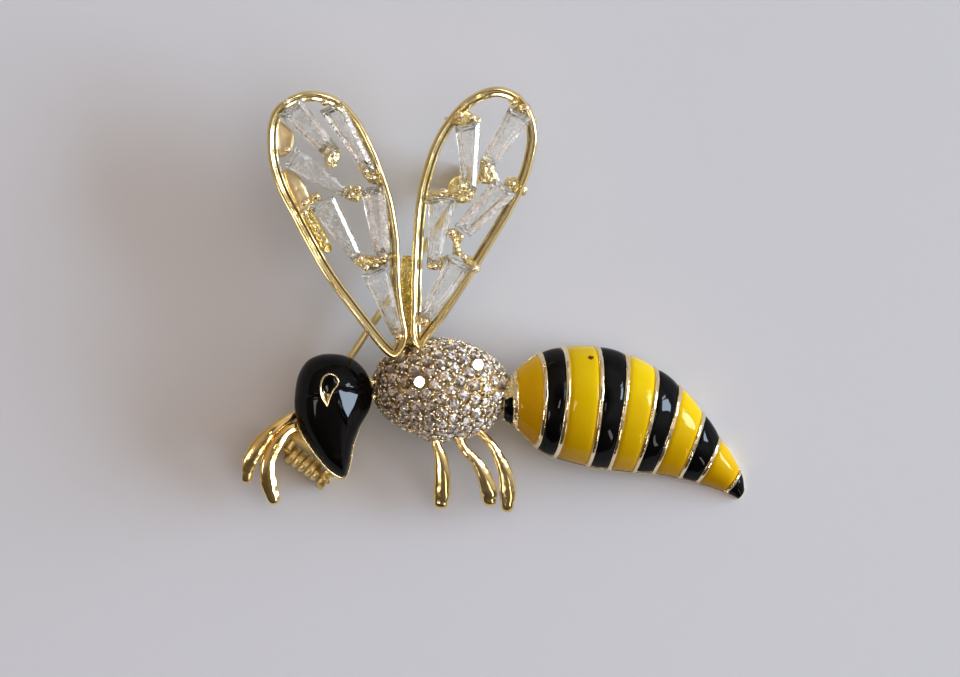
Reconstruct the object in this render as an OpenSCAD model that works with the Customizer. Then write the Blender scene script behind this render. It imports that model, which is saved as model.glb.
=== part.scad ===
// Wasp brooch, seen from its front: two open wings of tapered baguette stones in
// claw settings, a pave thorax, a striped enamelled abdomen, a black enamelled head
// and five curved legs, all soldered into one gold-coloured casting, with a sprung
// pin stem on the back that turns in a riveted hinge and lies in an open hook.
// Millimetres, +Z towards the viewer of the front, resting on Z = 0 on the hinge
// lugs, the catch foot and the tip of the abdomen. +X runs along the abdomen.

// node to draw, or all

/* [Wings] */
// height of the wing castings' underside above the resting surface
wing_z = 5.6; // [5:0.1:7]
// depth of the polished outer rim of a wing
rim_depth = 1.65; // [1.2:0.05:2.4]
// width of the polished outer rim
rim_width = 0.56; // [0.4:0.02:0.9]
// width of the rim together with its inner ledge
ledge_width = 1.08; // [0.8:0.02:1.6]
// depth of the inner ledge and of the setting ties
ledge_depth = 0.85; // [0.6:0.05:1.2]
// diameter of the bead that ends each claw
bead_d = 0.84; // [0.6:0.02:1.1]
// diameter of a claw below its bead
claw_d = 0.5; // [0.35:0.05:0.7]

/* [Stones] */
// clearance between a stone and its setting
stone_gap = 0.03; // [0.02:0.01:0.08]
// height of the girdle above the wing's underside
girdle_up = 1.3; // [1.1:0.05:1.6]
// height of the crown above the girdle
crown_h = 0.5; // [0.3:0.05:0.8]
// wall of the open collet under a stone
collet_wall = 0.34; // [0.25:0.01:0.5]

/* [Body] */
// length of the pave thorax dome
thorax_l = 13.7; // [12:0.1:15]
// width of the pave thorax dome
thorax_w = 10.1; // [9:0.1:11.5]
// height of the thorax dome above its rim
thorax_h = 6.1; // [5:0.1:7]
// wall of the hollow thorax
thorax_wall = 0.95; // [0.8:0.05:1.4]
// height of the thorax and head rims above the resting surface
rim_z = 3.5; // [3:0.1:4.5]
// height of the head dome above its cup at the brow
head_h = 4.7; // [3.5:0.1:6]
// height of the head dome above its cup at the chin
chin_h = 3.1; // [2:0.1:4]
// thickness of the enamel on the abdomen
enamel_t = 0.5; // [0.3:0.05:0.7]
// width of the gold wires between the enamel bands
wire_w = 0.46; // [0.3:0.02:0.7]
// clearance round each enamel field
enamel_gap = 0.03; // [0.02:0.01:0.08]

/* [Pin] */
// diameter of the pin wire
wire_d = 0.76; // [0.7:0.02:1]
// free length of the stem from the hinge axis to its point
stem_l = 34.2; // [30:0.1:36]
// length of the ground point
point_l = 2.6; // [1.5:0.1:4]
// radius of the coil at the middle of the wire
coil_r = 0.72; // [0.68:0.01:0.9]
// diameter of the hinge rivet
rivet_d = 0.56; // [0.5:0.02:0.6]
// height of the hinge axis, which is also the radius of its lugs
hinge_z = 1.4; // [1.2:0.05:1.8]
// length of the catch along the stem
catch_l = 2.9; // [2:0.1:4]

/* [Hidden] */
gold = [0.86, 0.68, 0.33];
amber = [0.83, 0.66, 0.05];
black = [0.03, 0.03, 0.03];
clear = [0.86, 0.86, 0.84, 0.6];
wing_top = wing_z + rim_depth;
girdle_z = wing_z + girdle_up;
cup_top = rim_z + 0.5;
wire_r = wire_d / 2;

// outer edge of the left wing, columns x, y
LEFT_WING = [[-10.95, -5.05], [-13.95, -1.35], [-16.55, 2.15], [-18.35, 5.15], [-20.05, 8.35],
    [-21.5, 11.15], [-22.4, 14.15], [-22.5, 17.15], [-21.85, 19.25], [-20.25, 20.55],
    [-17.95, 21.05], [-15.45, 20.35], [-13.45, 18.4], [-11.85, 15.45], [-10.6, 12.25],
    [-9.85, 9.65], [-9.3, 6.15], [-9.15, 2.15], [-8.85, -0.85], [-8.45, -3.65], [-9.45, -5.65]];
// outer edge of the right wing, columns x, y
RIGHT_WING = [[-8.15, -3.65], [-8.15, 0.15], [-8.1, 3.15], [-7.95, 6.35], [-7.65, 9.85],
    [-7.1, 12.65], [-6.1, 15.65], [-4.75, 18.05], [-2.85, 20.15], [-0.85, 21.25], [0.95, 21.45],
    [2.75, 20.65], [3.95, 18.95], [4.5, 16.65], [4.15, 14.15], [3.35, 11.65], [1.85, 8.65],
    [0.05, 5.65], [-2.15, 2.15], [-4.15, -0.85], [-6.05, -3.45], [-7.25, -4.85]];
// one row per baguette: the two wide-end corners, then the two narrow-end corners
BAGUETTES = [
    [[-21.35, 18.65], [-19.15, 20.30], [-15.25, 15.25], [-16.55, 14.25]], // l1
    [[-17.30, 19.05], [-15.05, 20.00], [-11.55, 12.95], [-13.10, 13.05]], // l2
    [[-20.80, 13.55], [-19.55, 15.50], [-14.15, 11.15], [-14.70, 10.25]], // l3
    [[-18.35, 9.55], [-15.75, 10.60], [-13.05, 4.80], [-14.00, 4.00]], // l4
    [[-13.20, 11.25], [-10.75, 11.65], [-10.15, 4.95], [-11.65, 4.15]], // l5
    [[-13.05, 2.60], [-10.50, 3.75], [-8.95, -3.10], [-10.05, -3.40]], // l6
    [[-3.75, 17.45], [-1.15, 18.00], [-1.55, 11.25], [-3.05, 11.10]], // r1
    [[1.65, 19.45], [4.05, 18.30], [0.25, 13.45], [-1.20, 14.10]], // r2
    [[-6.45, 10.70], [-3.55, 10.30], [-5.25, 3.95], [-6.55, 3.75]], // r3
    [[0.30, 12.35], [2.45, 10.65], [-2.20, 6.45], [-3.80, 7.55]], // r4
    [[-4.50, 4.75], [-2.00, 3.40], [-5.95, -1.90], [-7.25, -1.10]]]; // r5
// claws with bead ends, columns x, y
CLAWS = [[-20.55, 19.9], [-16.75, 19.87], [-20.45, 15.15], [-15.95, 14.75], [-14.1, 10.7],
    [-13.45, 11.3], [-17.6, 10.5], [-18.75, 9.85], [-18.8, 8.85], [-13.2, 4.3], [-12.65, 3.4],
    [-11.65, 3.6], [-10.85, 4.5], [-11.95, 12.35], [-12.7, 13.0], [-9.35, -3.5], [-3.2, 18.55],
    [-2, 18.35], [2.05, 19.85], [3.3, 19.3], [-0.5, 13.65], [-4.85, 11.0], [-2.3, 10.7],
    [2, 11.75], [-4.1, 6.9], [-3.15, 6.45], [-5.85, 3.5], [-2.85, 4.45], [-1.75, 3.3],
    [-6.75, -2.0]];
// ties that join the settings to each other and to the rims, columns x1, y1, x2, y2, width
TIES = [[-21.8, 16.3, -20.3, 16.1, 2.4], [-20.4, 12.4, -18.7, 10.1, 1.5], [-16.2, 14.9, -16.1, 13.9, 1.4],
    [-12.9, 13.4, -11.2, 12.3, 1.2], [-14.5, 10.8, -13.2, 10.9, 1.2], [-18.9, 9.0, -17.6, 10.5, 0.9],
    [-13.4, 4.1, -11.0, 4.2, 1.1], [-11.0, 4.3, -9.7, 4.6, 0.9], [-9.5, -3.1, -9.2, -4.6, 1.1],
    [-4.3, 18.1, -1.6, 18.1, 1.0], [2.28, 20.2, 3.95, 18.2, 0.9], [-0.6, 13.8, 0.0, 12.3, 1.5],
    [-4.94, 10.65, -2.0, 10.86, 0.9], [-7.0, 10.4, -5.6, 10.6, 0.8], [1.8, 11.6, 2.9, 11.2, 1.4],
    [-4.1, 7.0, -3.1, 6.5, 0.7], [-3.6, 6.8, -3.4, 4.8, 0.6], [-6.13, 3.72, -4.6, 4.15, 0.9],
    [-2.6, 4.0, -1.6, 3.3, 1.0], [-7.9, -1.6, -6.6, -1.7, 0.9], [-18.87, 8.82, -19.73, 8.92, 1.0]];
// cast web between the two wings, columns x, y
WEB = [[-9.4, 5.9], [-9.1, 5.15], [-8.6, 4.85], [-8.15, 5.15], [-7.8, 5.9], [-7.8, -4.2], [-9.0, -4.2]];
// outline of the head, columns x, y
HEAD = [[-16.15, -5.2], [-14.75, -5.4], [-13.45, -6.1], [-12.45, -7.35], [-11.98, -9.05],
    [-12.25, -10.75], [-13.25, -12.55], [-13.95, -14.35], [-14.25, -16.15], [-14.85, -17.58],
    [-16.25, -16.95], [-17.85, -15.1], [-19.25, -12.85], [-19.8, -10.95], [-19.82, -9.35],
    [-19.5, -7.45], [-18.65, -6], [-17.45, -5.35]];
// teardrop outline of the eye's bezel, columns x, y
EYE = [[-16.2, -7.15], [-15.65, -7.35], [-15.28, -7.85], [-15.4, -8.45], [-15.8, -8.95],
    [-16.15, -9.75], [-16.45, -10.55], [-16.8, -10.15], [-17.15, -9.45], [-17.25, -8.65],
    [-17.1, -7.85], [-16.7, -7.3]];
// outline of the cabochon in the eye, columns x, y
PUPIL = [[-16.2, -7.4], [-15.87, -7.65], [-15.78, -8.05], [-15.95, -8.6], [-16.3, -9.05],
    [-16.65, -8.95], [-16.87, -8.45], [-16.75, -7.85], [-16.5, -7.5]];
// sections of the abdomen at its gold wires, first the neck and last the tip, columns
// upper edge x, y, lower edge x, y, crest x, y, height of the edge, height of the crest
ABDOMEN = [[1.15, -8.25, 1.05, -11.85, 1.10, -10.05, 3.9, 6.2],
    [2.20, -6.95, 2.30, -12.70, 2.40, -9.75, 3.6, 6.6],
    [4.55, -5.20, 4.25, -14.68, 5.30, -9.65, 3.3, 7.5],
    [7.00, -4.52, 6.15, -15.68, 7.55, -9.85, 2.9, 7.8],
    [10.30, -4.52, 9.45, -16.60, 10.85, -9.95, 2.4, 7.6],
    [13.25, -5.30, 11.60, -16.97, 13.30, -10.15, 1.9, 7.0],
    [16.10, -6.70, 14.10, -17.25, 16.10, -10.90, 1.5, 6.2],
    [18.65, -8.55, 16.10, -17.35, 18.20, -12.00, 1.2, 5.1],
    [21.10, -11.20, 18.75, -17.80, 20.50, -13.85, 0.8, 4.0],
    [22.83, -13.65, 20.58, -18.20, 22.18, -15.60, 0.5, 2.9],
    [24.88, -16.90, 23.33, -19.13, 24.40, -18.05, 0.2, 1.6],
    [25.31, -18.75, 24.65, -19.81, 25.13, -19.40, 0.2, 0.8]];
// legs from root to tip, columns x, y, height of the middle, width, thickness
REAR_1 = [[-5.85, -13.05, 4.6, 0.8, 0.9], [-5.6, -14.35, 4.5, 0.9, 0.95], [-5.2, -15.65, 4.1, 1.25, 1],
    [-5.03, -17.35, 3.4, 1.45, 1], [-5.07, -19.05, 2.5, 1.45, 1], [-5.17, -20.15, 1.9, 1.15, 0.85],
    [-5.22, -20.85, 1.5, 0.4, 0.4]];
REAR_2 = [[-3.65, -12.95, 4.6, 0.8, 0.9], [-2.75, -14.85, 4.4, 0.95, 0.95], [-1.7, -15.95, 4, 1.1, 1],
    [-0.9, -17.35, 3.4, 1.35, 1], [-0.42, -18.85, 2.6, 1.55, 1], [-0.32, -19.85, 2, 1.25, 0.85],
    [-0.35, -20.55, 1.6, 0.4, 0.4]];
REAR_3 = [[-1.55, -12.7, 4.6, 0.75, 0.9], [-0.05, -14.35, 4.4, 0.9, 0.95], [0.65, -15.65, 4, 1.1, 1],
    [1.27, -17.15, 3.4, 1.4, 1], [1.51, -18.85, 2.6, 1.5, 1], [1.49, -20.25, 1.9, 1.15, 0.85],
    [1.43, -21.15, 1.4, 0.4, 0.4]];
FRONT_1 = [[-19.0, -10.95, 3.45, 0.85, 0.7], [-20.75, -11.9, 3.9, 1, 0.95], [-22.15, -13, 4.2, 1.15, 1],
    [-23.4, -14.4, 3.8, 1.4, 1], [-24.25, -15.85, 3.2, 1.4, 1], [-24.65, -17.15, 2.6, 1.1, 0.85],
    [-24.72, -18.25, 2.1, 0.35, 0.4]];
FRONT_2 = [[-18.6, -12.15, 3.45, 0.85, 0.7], [-20.4, -12.85, 3.8, 1.1, 0.95], [-21.7, -14.35, 4, 1.4, 1],
    [-22.47, -16.05, 3.6, 1.6, 1], [-22.47, -17.85, 3, 1.65, 1], [-22.1, -19.25, 2.4, 1.4, 0.9],
    [-21.7, -20.35, 1.9, 0.4, 0.4]];
THORAX = [-5.2, -8.85];
THORAX_TURN = -5;
HINGE = [-20.61, -14.95];
CATCH = [-2.52, 11.85];
TUBE_A = [-20.05, 11.45];
TUBE_B = [-16.3, 4.9];
stem_turn = atan2(CATCH[1] - HINGE[1], CATCH[0] - HINGE[0]);
catch_at = norm(CATCH - HINGE);

// point between rows p1 and p2 of a smooth curve, t from 0 to 1
function blend(p0, p1, p2, p3, t) = 0.5 * (2 * p1 + (p2 - p0) * t + (2 * p0 - 5 * p1 + 4 * p2 - p3) * t * t
    + (3 * p1 - p0 - 3 * p2 + p3) * t * t * t);
// row of a table at a position that need not be whole
function row_at(tab, u) = let (n = len(tab) - 1, i = max(0, min(floor(u), n - 1)))
    blend(tab[max(i - 1, 0)], tab[i], tab[i + 1], tab[min(i + 2, n)], u - i);
// smooth closed outline through a table's points, n steps to each
function outline(p, n) = let (m = len(p)) [for (i = [0:m - 1]) for (k = [0:n - 1])
    blend(p[(i + m - 1) % m], p[i], p[(i + 1) % m], p[(i + 2) % m], k / n)];
function area2(p) = let (m = len(p)) [for (i = [0:m - 1]) p[i][0] * p[(i + 1) % m][1] - p[(i + 1) % m][0] * p[i][1]]
    * [for (i = [0:m - 1]) 1];
function unit(v) = v / norm(v);
// outline moved inwards by d
function inset(p, d) = let (m = len(p), s = sign(area2(p))) [for (i = [0:m - 1])
    let (e = unit(p[i] - p[(i + m - 1) % m]), f = unit(p[(i + 1) % m] - p[i]),
         n1 = s * [-e[1], e[0]], n2 = s * [-f[1], f[0]]) p[i] + (n1 + n2) / (1 + n1 * n2) * d];
// outline turned so that it runs anticlockwise
function ccw(p) = area2(p) > 0 ? p : [for (i = [len(p) - 1:-1:0]) p[i]];
function lift(p, z) = [for (q = p) [q[0], q[1], z]];
function middle(r) = [for (i = [0:2]) [for (p = r) p[i]] * [for (p = r) 1 / len(r)]];

// closed solid through rings of equal count, with a fan of triangles at each end
module stack(rings) {
    m = len(rings[0]);
    n = len(rings);
    pts = concat([for (r = rings) each r], [middle(rings[0]), middle(rings[n - 1])]);
    side = [for (i = [0:n - 2]) for (j = [0:m - 1]) let (k = (j + 1) % m)
        each [[i * m + j, (i + 1) * m + j, (i + 1) * m + k], [i * m + j, (i + 1) * m + k, i * m + k]]];
    low = [for (j = [0:m - 1]) [n * m, j, (j + 1) % m]];
    high = [for (j = [0:m - 1]) [n * m + 1, (n - 1) * m + (j + 1) % m, (n - 1) * m + j]];
    polyhedron(pts, concat(side, low, high), convexity = 4);
}

// closed solid between an outer and an inner grid of the same size
module skin(a, b) {
    n = len(a);
    m = len(a[0]);
    o = n * m;
    pts = concat([for (r = a) for (p = r) p], [for (r = b) for (p = r) p]);
    faces = concat(
        [for (i = [0:n - 2]) for (j = [0:m - 2]) let (q = i * m + j)
            each [[q, q + m, q + m + 1], [q, q + m + 1, q + 1],
                  [o + q, o + q + m + 1, o + q + m], [o + q, o + q + 1, o + q + m + 1]]],
        [for (i = [0:n - 2]) let (q = i * m, w = i * m + m - 1)
            each [[q, o + q, o + q + m], [q, o + q + m, q + m],
                  [w, o + w + m, o + w], [w, w + m, o + w + m]]],
        [for (j = [0:m - 2]) let (q = j, w = (n - 1) * m + j)
            each [[q, q + 1, o + q + 1], [q, o + q + 1, o + q],
                  [w, o + w + 1, w + 1], [w, o + w, o + w + 1]]]);
    polyhedron(pts, faces, convexity = 6);
}

// point of the abdomen's arch at table position u, angle a round it and depth d under its face
function arch(u, a, d) = let (r = row_at(ABDOMEN, u), t = [r[0], r[1]], b = [r[2], r[3]], c = [r[4], r[5]],
    m = (t + b) / 2, v = (t - b) / 2, h = r[7] - r[6], p = m + v * (1 - d / norm(v)) * cos(a) + (c - m) * (h - d) / h * sin(a))
    [p[0], p[1], r[6] + (h - d) * sin(a)];
// length of the abdomen between two neighbouring wires
function span_l(i) = norm([ABDOMEN[i + 1][4] - ABDOMEN[i][4], ABDOMEN[i + 1][5] - ABDOMEN[i][5]]);
// curved plate of the abdomen from u0 to u1, a0 to a1, between depths d0 and d1
module arch_plate(u0, u1, nu, a0, a1, na, d0, d1) {
    skin([for (i = [0:nu]) [for (j = [0:na]) arch(u0 + (u1 - u0) * i / nu, a0 + (a1 - a0) * j / na, d0)]],
         [for (i = [0:nu]) [for (j = [0:na]) arch(u0 + (u1 - u0) * i / nu, a0 + (a1 - a0) * j / na, d1)]]);
}
// enamel field between wires i and i + 1
module enamel_band(i) {
    side = (wire_w / 2 + enamel_gap) / span_l(i) + 0.012;
    arch_plate(i + side, i + 1 - side, 3, 8.5, 171.5, 8, 0, enamel_t);
}

// ring of a leg at table position u
function leg_ring(tab, u) = let (r = row_at(tab, u), q = row_at(tab, min(u + 0.05, len(tab) - 1)) - row_at(tab, max(u - 0.05, 0)),
    d = unit([q[0], q[1]]), n = [-d[1], d[0]])
    [for (k = [0:7]) let (a = 22.5 + 45 * k) [r[0] + n[0] * r[3] / 2 * cos(a), r[1] + n[1] * r[3] / 2 * cos(a), r[2] + r[4] / 2 * sin(a)]];
module leg(tab) {
    stack([for (i = [0:9]) leg_ring(tab, i * (len(tab) - 1) / 9)]);
}

// tapered step-cut stone, grown all round by g
module baguette(i, g) {
    q = ccw(BAGUETTES[i]);
    w = min(norm(q[2] - q[3]), norm(q[0] - q[1]));
    stack([lift(inset(q, 0.36 * w - g), girdle_z - 0.85 - g), lift(inset(q, -g), girdle_z - g / 2),
           lift(inset(q, -g), girdle_z + 0.15 + g / 2), lift(inset(q, 0.4 - g), girdle_z + 0.15 + crown_h + g)]);
}

// closed ring of one profile, given as rows of points of equal count
module loop(rows) {
    n = len(rows);
    m = len(rows[0]);
    faces = [for (i = [0:n - 1]) for (j = [0:m - 1]) let (a = i * m + j, b = (i + 1) % n * m + j, k = (j + 1) % m - j)
        each [[a, b, b + k], [a, b + k, a + k]]];
    polyhedron([for (r = rows) for (p = r) p], faces, convexity = 6);
}

module wing_frame(tab) {
    edge = ccw(outline(tab, 2));
    rim = inset(edge, rim_width);
    ledge = inset(edge, ledge_width);
    mid = wing_z + ledge_depth;
    loop([lift(edge, wing_z), lift(edge, wing_top), lift(rim, wing_top), lift(rim, mid), lift(ledge, mid), lift(ledge, wing_z)]);
}

module collet(i) {
    q = BAGUETTES[i];
    translate([0, 0, wing_z + 0.05]) linear_extrude(girdle_up - 0.02) difference() {
        polygon(inset(q, -0.1));
        translate([0.017, 0.011]) polygon(inset(q, collet_wall - 0.1));
    }
}

module tie(t) {
    translate([0, 0, wing_z + 0.07]) hull() {
        translate([t[0], t[1], 0]) cylinder(d = t[4], h = ledge_depth + 0.1, $fn = 6);
        translate([t[2], t[3], 0]) cylinder(d = t[4], h = ledge_depth + 0.1, $fn = 6);
    }
}

function disc(p, r, z, n) = [for (k = [0:n - 1]) [p[0] + r * cos(360 * (k + 0.5) / n), p[1] + r * sin(360 * (k + 0.5) / n), z]];
module claw(p) {
    z = girdle_z + 0.42;
    r = bead_d / 2;
    stack([disc(p, claw_d / 2, wing_z + 0.13, 6), disc(p, r, z - 0.2 * r, 6), disc(p, r, z + 0.35 * r, 6), disc(p, 0.5 * r, z + 0.92 * r, 6)]);
}

module wings_metal() {
    wing_frame(LEFT_WING);
    wing_frame(RIGHT_WING);
    for (i = [0:len(BAGUETTES) - 1]) collet(i);
    for (t = TIES) tie(t);
    for (p = CLAWS) claw(p);
    translate([0, 0, wing_z + 0.1]) linear_extrude(1.13) polygon(WEB);
}

// tube soldered under the edge of the left wing
module back_tube() {
    l = norm(TUBE_B - TUBE_A);
    translate([TUBE_A[0], TUBE_A[1], wing_z - 0.25]) rotate([0, 0, atan2(TUBE_B[1] - TUBE_A[1], TUBE_B[0] - TUBE_A[0])])
        rotate([0, 90, 0]) difference() {
            cylinder(d = 1.3, h = l, $fn = 12);
            translate([0, 0, l - 3]) cylinder(d = 0.75, h = 4, $fn = 12);
        }
}

// ring of the thorax at its height fraction t, moved in by d
function dome_ring(t, d, n) = [for (k = [0:n - 1]) let (c = sqrt(max(0, 1 - t * t)))
    [(thorax_l / 2 - d) * c * cos(360 * k / n), (thorax_w / 2 - d) * c * sin(360 * k / n), (thorax_h - d) * t]];
module thorax() {
    translate([THORAX[0], THORAX[1], rim_z]) rotate([0, 0, THORAX_TURN]) {
        difference() {
            stack([for (t = [0, 0.32, 0.62, 0.85, 0.98]) dome_ring(t, 0, 28)]);
            stack([for (t = [-0.1, 0.45, 0.85]) dome_ring(t, thorax_wall, 16)]);
        }
        difference() {
            stack([lift(dome_ring(0, -0.1, 28), 0), lift(dome_ring(0, -0.1, 28), 0.4)]);
            stack([lift(dome_ring(0, 0.6, 16), -1), lift(dome_ring(0, 0.6, 16), 1)]);
        }
    }
}

// nearest point of the head's long ridge line to p
HEAD_A = [-16.1, -9.0];
HEAD_B = [-15.1, -15.2];
function ridge_t(p) = let (v = HEAD_B - HEAD_A) max(0, min(1, ((p - HEAD_A) * v) / (v * v)));
function dome_point(p, s, top) = let (t = ridge_t(p), c = HEAD_A + (HEAD_B - HEAD_A) * t, q = c + (p - c) * s)
    [q[0], q[1], cup_top + 0.55 + (head_h + (chin_h - head_h) * t - 0.55) * sqrt(max(0, 1 - s * s)) * top];

module head_enamel() {
    base = inset(ccw(outline(HEAD, 2)), 0.14);
    color(black) difference() {
        stack(concat([lift(base, cup_top + enamel_gap)],
            [for (s = [1, 0.94, 0.8, 0.56, 0.28]) [for (p = base) dome_point(p, s, 1)]]));
        translate([0, 0, rim_z]) linear_extrude(20) polygon(inset(ccw(outline(EYE, 1)), -enamel_gap));
    }
}

module head_cup() {
    edge = ccw(outline(HEAD, 2));
    translate([0, 0, rim_z - 0.4]) linear_extrude(cup_top - rim_z + 0.4) polygon(inset(edge, -0.04));
    translate([0, 0, cup_top - 0.1]) linear_extrude(0.5) difference() {
        polygon(inset(edge, -0.04));
        polygon(inset(edge, 0.11));
    }
    // neck joint with the thorax
    translate([-12.9, -10.1, rim_z - 0.1]) cube([2.4, 2.6, cup_top - rim_z + 0.1]);
    // bezel of the eye
    translate([0, 0, cup_top - 0.1]) linear_extrude(head_h + 0.2) difference() {
        polygon(outline(EYE, 1));
        polygon(inset(ccw(PUPIL), -enamel_gap));
    }
    translate([0, 0, cup_top - 0.1]) linear_extrude(head_h - 0.7) polygon(outline(EYE, 1));
}

module eye_cabochon() {
    z = cup_top + head_h - 0.77;
    color(black) stack([lift(ccw(PUPIL), z), lift(ccw(PUPIL), z + 0.9), lift(inset(ccw(PUPIL), 0.1), z + 1.1),
        lift(inset(ccw(PUPIL), 0.28), z + 1.22)]);
}

// depth of the gold under the abdomen's face, at a wire or between two, by the angle
function gold_depth(wire, a) = wire || a < 7.9 || a > 172.1 ? -0.04 : enamel_t + enamel_gap + 0.08;
GOLD_A = concat([0, 7.6, 8.1], [for (j = [1:7]) 8.5 + 20.375 * j], [171.9, 172.4, 180]);
// outer and inner edge of the abdomen's gold at one section
function gold_arc(u, wire) = [for (a = GOLD_A) arch(u, a, gold_depth(wire, a))];
function hollow_arc(u) = [for (k = [0:len(GOLD_A) - 1]) arch(u, 180 * k / (len(GOLD_A) - 1), 1.15)];

module abdomen_metal() {
    cuts = concat([[-0.09, true, -0.09], [0.46, true, 0.34], [0.475, false, 0.54]], [for (i = [1:10]) let (v = wire_w / 2 / span_l(i - 1), w = wire_w / 2 / span_l(i)) each
        [[i - v - 0.012, false, i - v - 0.14], [i - v, true, i - v], [i + w, true, i + w], [i + w + 0.012, false, i + w + 0.14]]]);
    skin([for (c = cuts) gold_arc(c[0], c[1])], [for (c = cuts) hollow_arc(c[2])]);
    // foot under the tip
    linear_extrude(0.46) polygon(concat([for (i = [0:4]) let (p = arch(9.3 + 0.9 * i / 4, 0, 0.75)) [p[0], p[1]]],
        [for (i = [4:-1:0]) let (p = arch(9.3 + 0.9 * i / 4, 180, 0.75)) [p[0], p[1]]]));
    linear_extrude(0.27) polygon(concat([for (i = [0:4]) let (p = arch(9.7 + 1.3 * i / 4, 0, 0.12)) [p[0], p[1]]],
        [for (i = [0:6]) let (p = arch(11, 30 * i, -0.05)) [p[0], p[1]]],
        [for (i = [4:-1:0]) let (p = arch(9.7 + 1.3 * i / 4, 180, 0.12)) [p[0], p[1]]]));
    // plate that closes the neck and meets the thorax
    translate([-0.25, -11, rim_z + 0.45]) cube([1.6, 1.85, 1.05]);
}

module tip_enamel() {
    u = [for (i = [0:4]) 10 + (wire_w / 2 + enamel_gap) / span_l(10) + (0.97 - (wire_w / 2 + enamel_gap) / span_l(10)) * i / 4];
    top = [for (a = u) [for (j = [0:8]) let (p = arch(a, 6 + 21 * j, 0)) [p[0], p[1], max(p[2], 0.34)]]];
    color(black) skin(top, [for (r = top) [for (p = r) [p[0], p[1], 0.3]]]);
}

module neck_enamel() {
    color(black) arch_plate(0.5, 1 - (wire_w / 2 + enamel_gap) / span_l(0) - 0.012, 1, 8.5, 171.5, 8, 0, enamel_t);
}

// hinge lugs, their bar under the head, and the catch, in a frame along the stem
module stem_frame() {
    translate([HINGE[0], HINGE[1], 0]) rotate([0, 0, stem_turn]) children();
}

module lug(y0, y1) {
    difference() {
        union() {
            translate([0, y1, hinge_z]) rotate([90, 0, 0]) cylinder(r = hinge_z, h = y1 - y0, $fn = 24);
            translate([0, y0, hinge_z]) cube([2.0, y1 - y0, 2.0]);
        }
        translate([0, y1 + 1, hinge_z]) rotate([90, 0, 0]) cylinder(d = rivet_d + 0.06, h = y1 - y0 + 2, $fn = 16);
    }
}

module hinge_metal() {
    stem_frame() {
        lug(0.46, 1.26);
        lug(-5.1, -4.3);
        translate([1.15, -5.13, 2.7]) cube([1.57, 6.42, 0.61]);
    }
}

module catch_metal() {
    z = hinge_z + coil_r;
    stem_frame() translate([catch_at - catch_l / 2, 0, 0]) {
        translate([0, 0.47, 0]) cube([catch_l, 0.75, z + 1.25]);
        translate([0, -0.95, z + 0.5]) cube([catch_l, 2.17, 0.75]);
        translate([0, -0.95, z - 0.1]) cube([catch_l, 0.48, 0.9]);
    }
    translate([-3.9, 10.2, z + 1.0]) cube([1.5, 1.5, wing_z - z - 0.8]);
}

module casting() {
    color(gold) union() {
        difference() {
            wings_metal();
            for (i = [0:len(BAGUETTES) - 1]) baguette(i, stone_gap);
        }
        back_tube();
        thorax();
        head_cup();
        abdomen_metal();
        leg(REAR_1);
        leg(REAR_2);
        leg(REAR_3);
        leg(FRONT_1);
        leg(FRONT_2);
        hinge_metal();
        catch_metal();
    }
}

module hinge_rivet() {
    color(gold) stem_frame() translate([0, 0, hinge_z]) rotate([90, 0, 0]) {
        translate([0, 0, -1.28]) cylinder(d = rivet_d, h = 6.4, $fn = 32);
        translate([0, 0, -1.48]) cylinder(d = 1.0, h = 0.2, $fn = 32);
        translate([0, 0, 5.12]) cylinder(d = 1.0, h = 0.2, $fn = 32);
    }
}

module pin_stem() {
    turns = 7;
    pitch = 0.64;
    color(gold) stem_frame() {
        for (k = [0:turns - 1]) translate([0, -k * pitch, hinge_z]) rotate([90, 0, 0]) rotate_extrude($fn = 48)
            translate([coil_r, 0]) circle(d = wire_d + 0.03, $fn = 24);
        translate([0, 0.05, hinge_z]) rotate([90, 0, 0]) difference() {
            cylinder(r = coil_r + 0.2, h = (turns - 1) * pitch + 0.1, $fn = 48);
            translate([0, 0, -1]) cylinder(r = coil_r - 0.22, h = 8, $fn = 48);
        }
        // the wire is swaged a little thinner towards the coil and in the hook: [from, diameter there, to, diameter there]
        for (p = [[0.05, 0.71, 13, wire_d], [13, wire_d, 28.6, wire_d], [28.6, wire_d, 0.05 + stem_l - point_l, 0.7],
                  [0.05 + stem_l - point_l, 0.7, 0.05 + stem_l, 0.12]])
            translate([p[0], 0, hinge_z + coil_r]) rotate([0, 90, 0]) cylinder(d1 = p[1], d2 = p[3], h = p[2] - p[0], $fn = 32);
    }
}

// puts the middle of the overall length and breadth on the origin
module centred() {
    translate([-0.145, -0.155, 0]) children();
}

centred() casting();
centred() head_enamel();
centred() eye_cabochon();
centred() neck_enamel();
centred() tip_enamel();
centred() color(amber) enamel_band(1);  // amber_band_1
centred() color(black) enamel_band(2);  // black_band_1
centred() color(amber) enamel_band(3);  // amber_band_2
centred() color(black) enamel_band(4);  // black_band_2
centred() color(amber) enamel_band(5);  // amber_band_3
centred() color(black) enamel_band(6);  // black_band_3
centred() color(amber) enamel_band(7);  // amber_band_4
centred() color(black) enamel_band(8);  // black_band_4
centred() color(amber) enamel_band(9);  // amber_band_5
centred() color(clear) baguette(0, 0);  // baguette_l1
centred() color(clear) baguette(1, 0);  // baguette_l2
centred() color(clear) baguette(2, 0);  // baguette_l3
centred() color(clear) baguette(3, 0);  // baguette_l4
centred() color(clear) baguette(4, 0);  // baguette_l5
centred() color(clear) baguette(5, 0);  // baguette_l6
centred() color(clear) baguette(6, 0);  // baguette_r1
centred() color(clear) baguette(7, 0);  // baguette_r2
centred() color(clear) baguette(8, 0);  // baguette_r3
centred() color(clear) baguette(9, 0);  // baguette_r4
centred() color(clear) baguette(10, 0);  // baguette_r5
centred() hinge_rivet();
centred() pin_stem();
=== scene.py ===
import math

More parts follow.
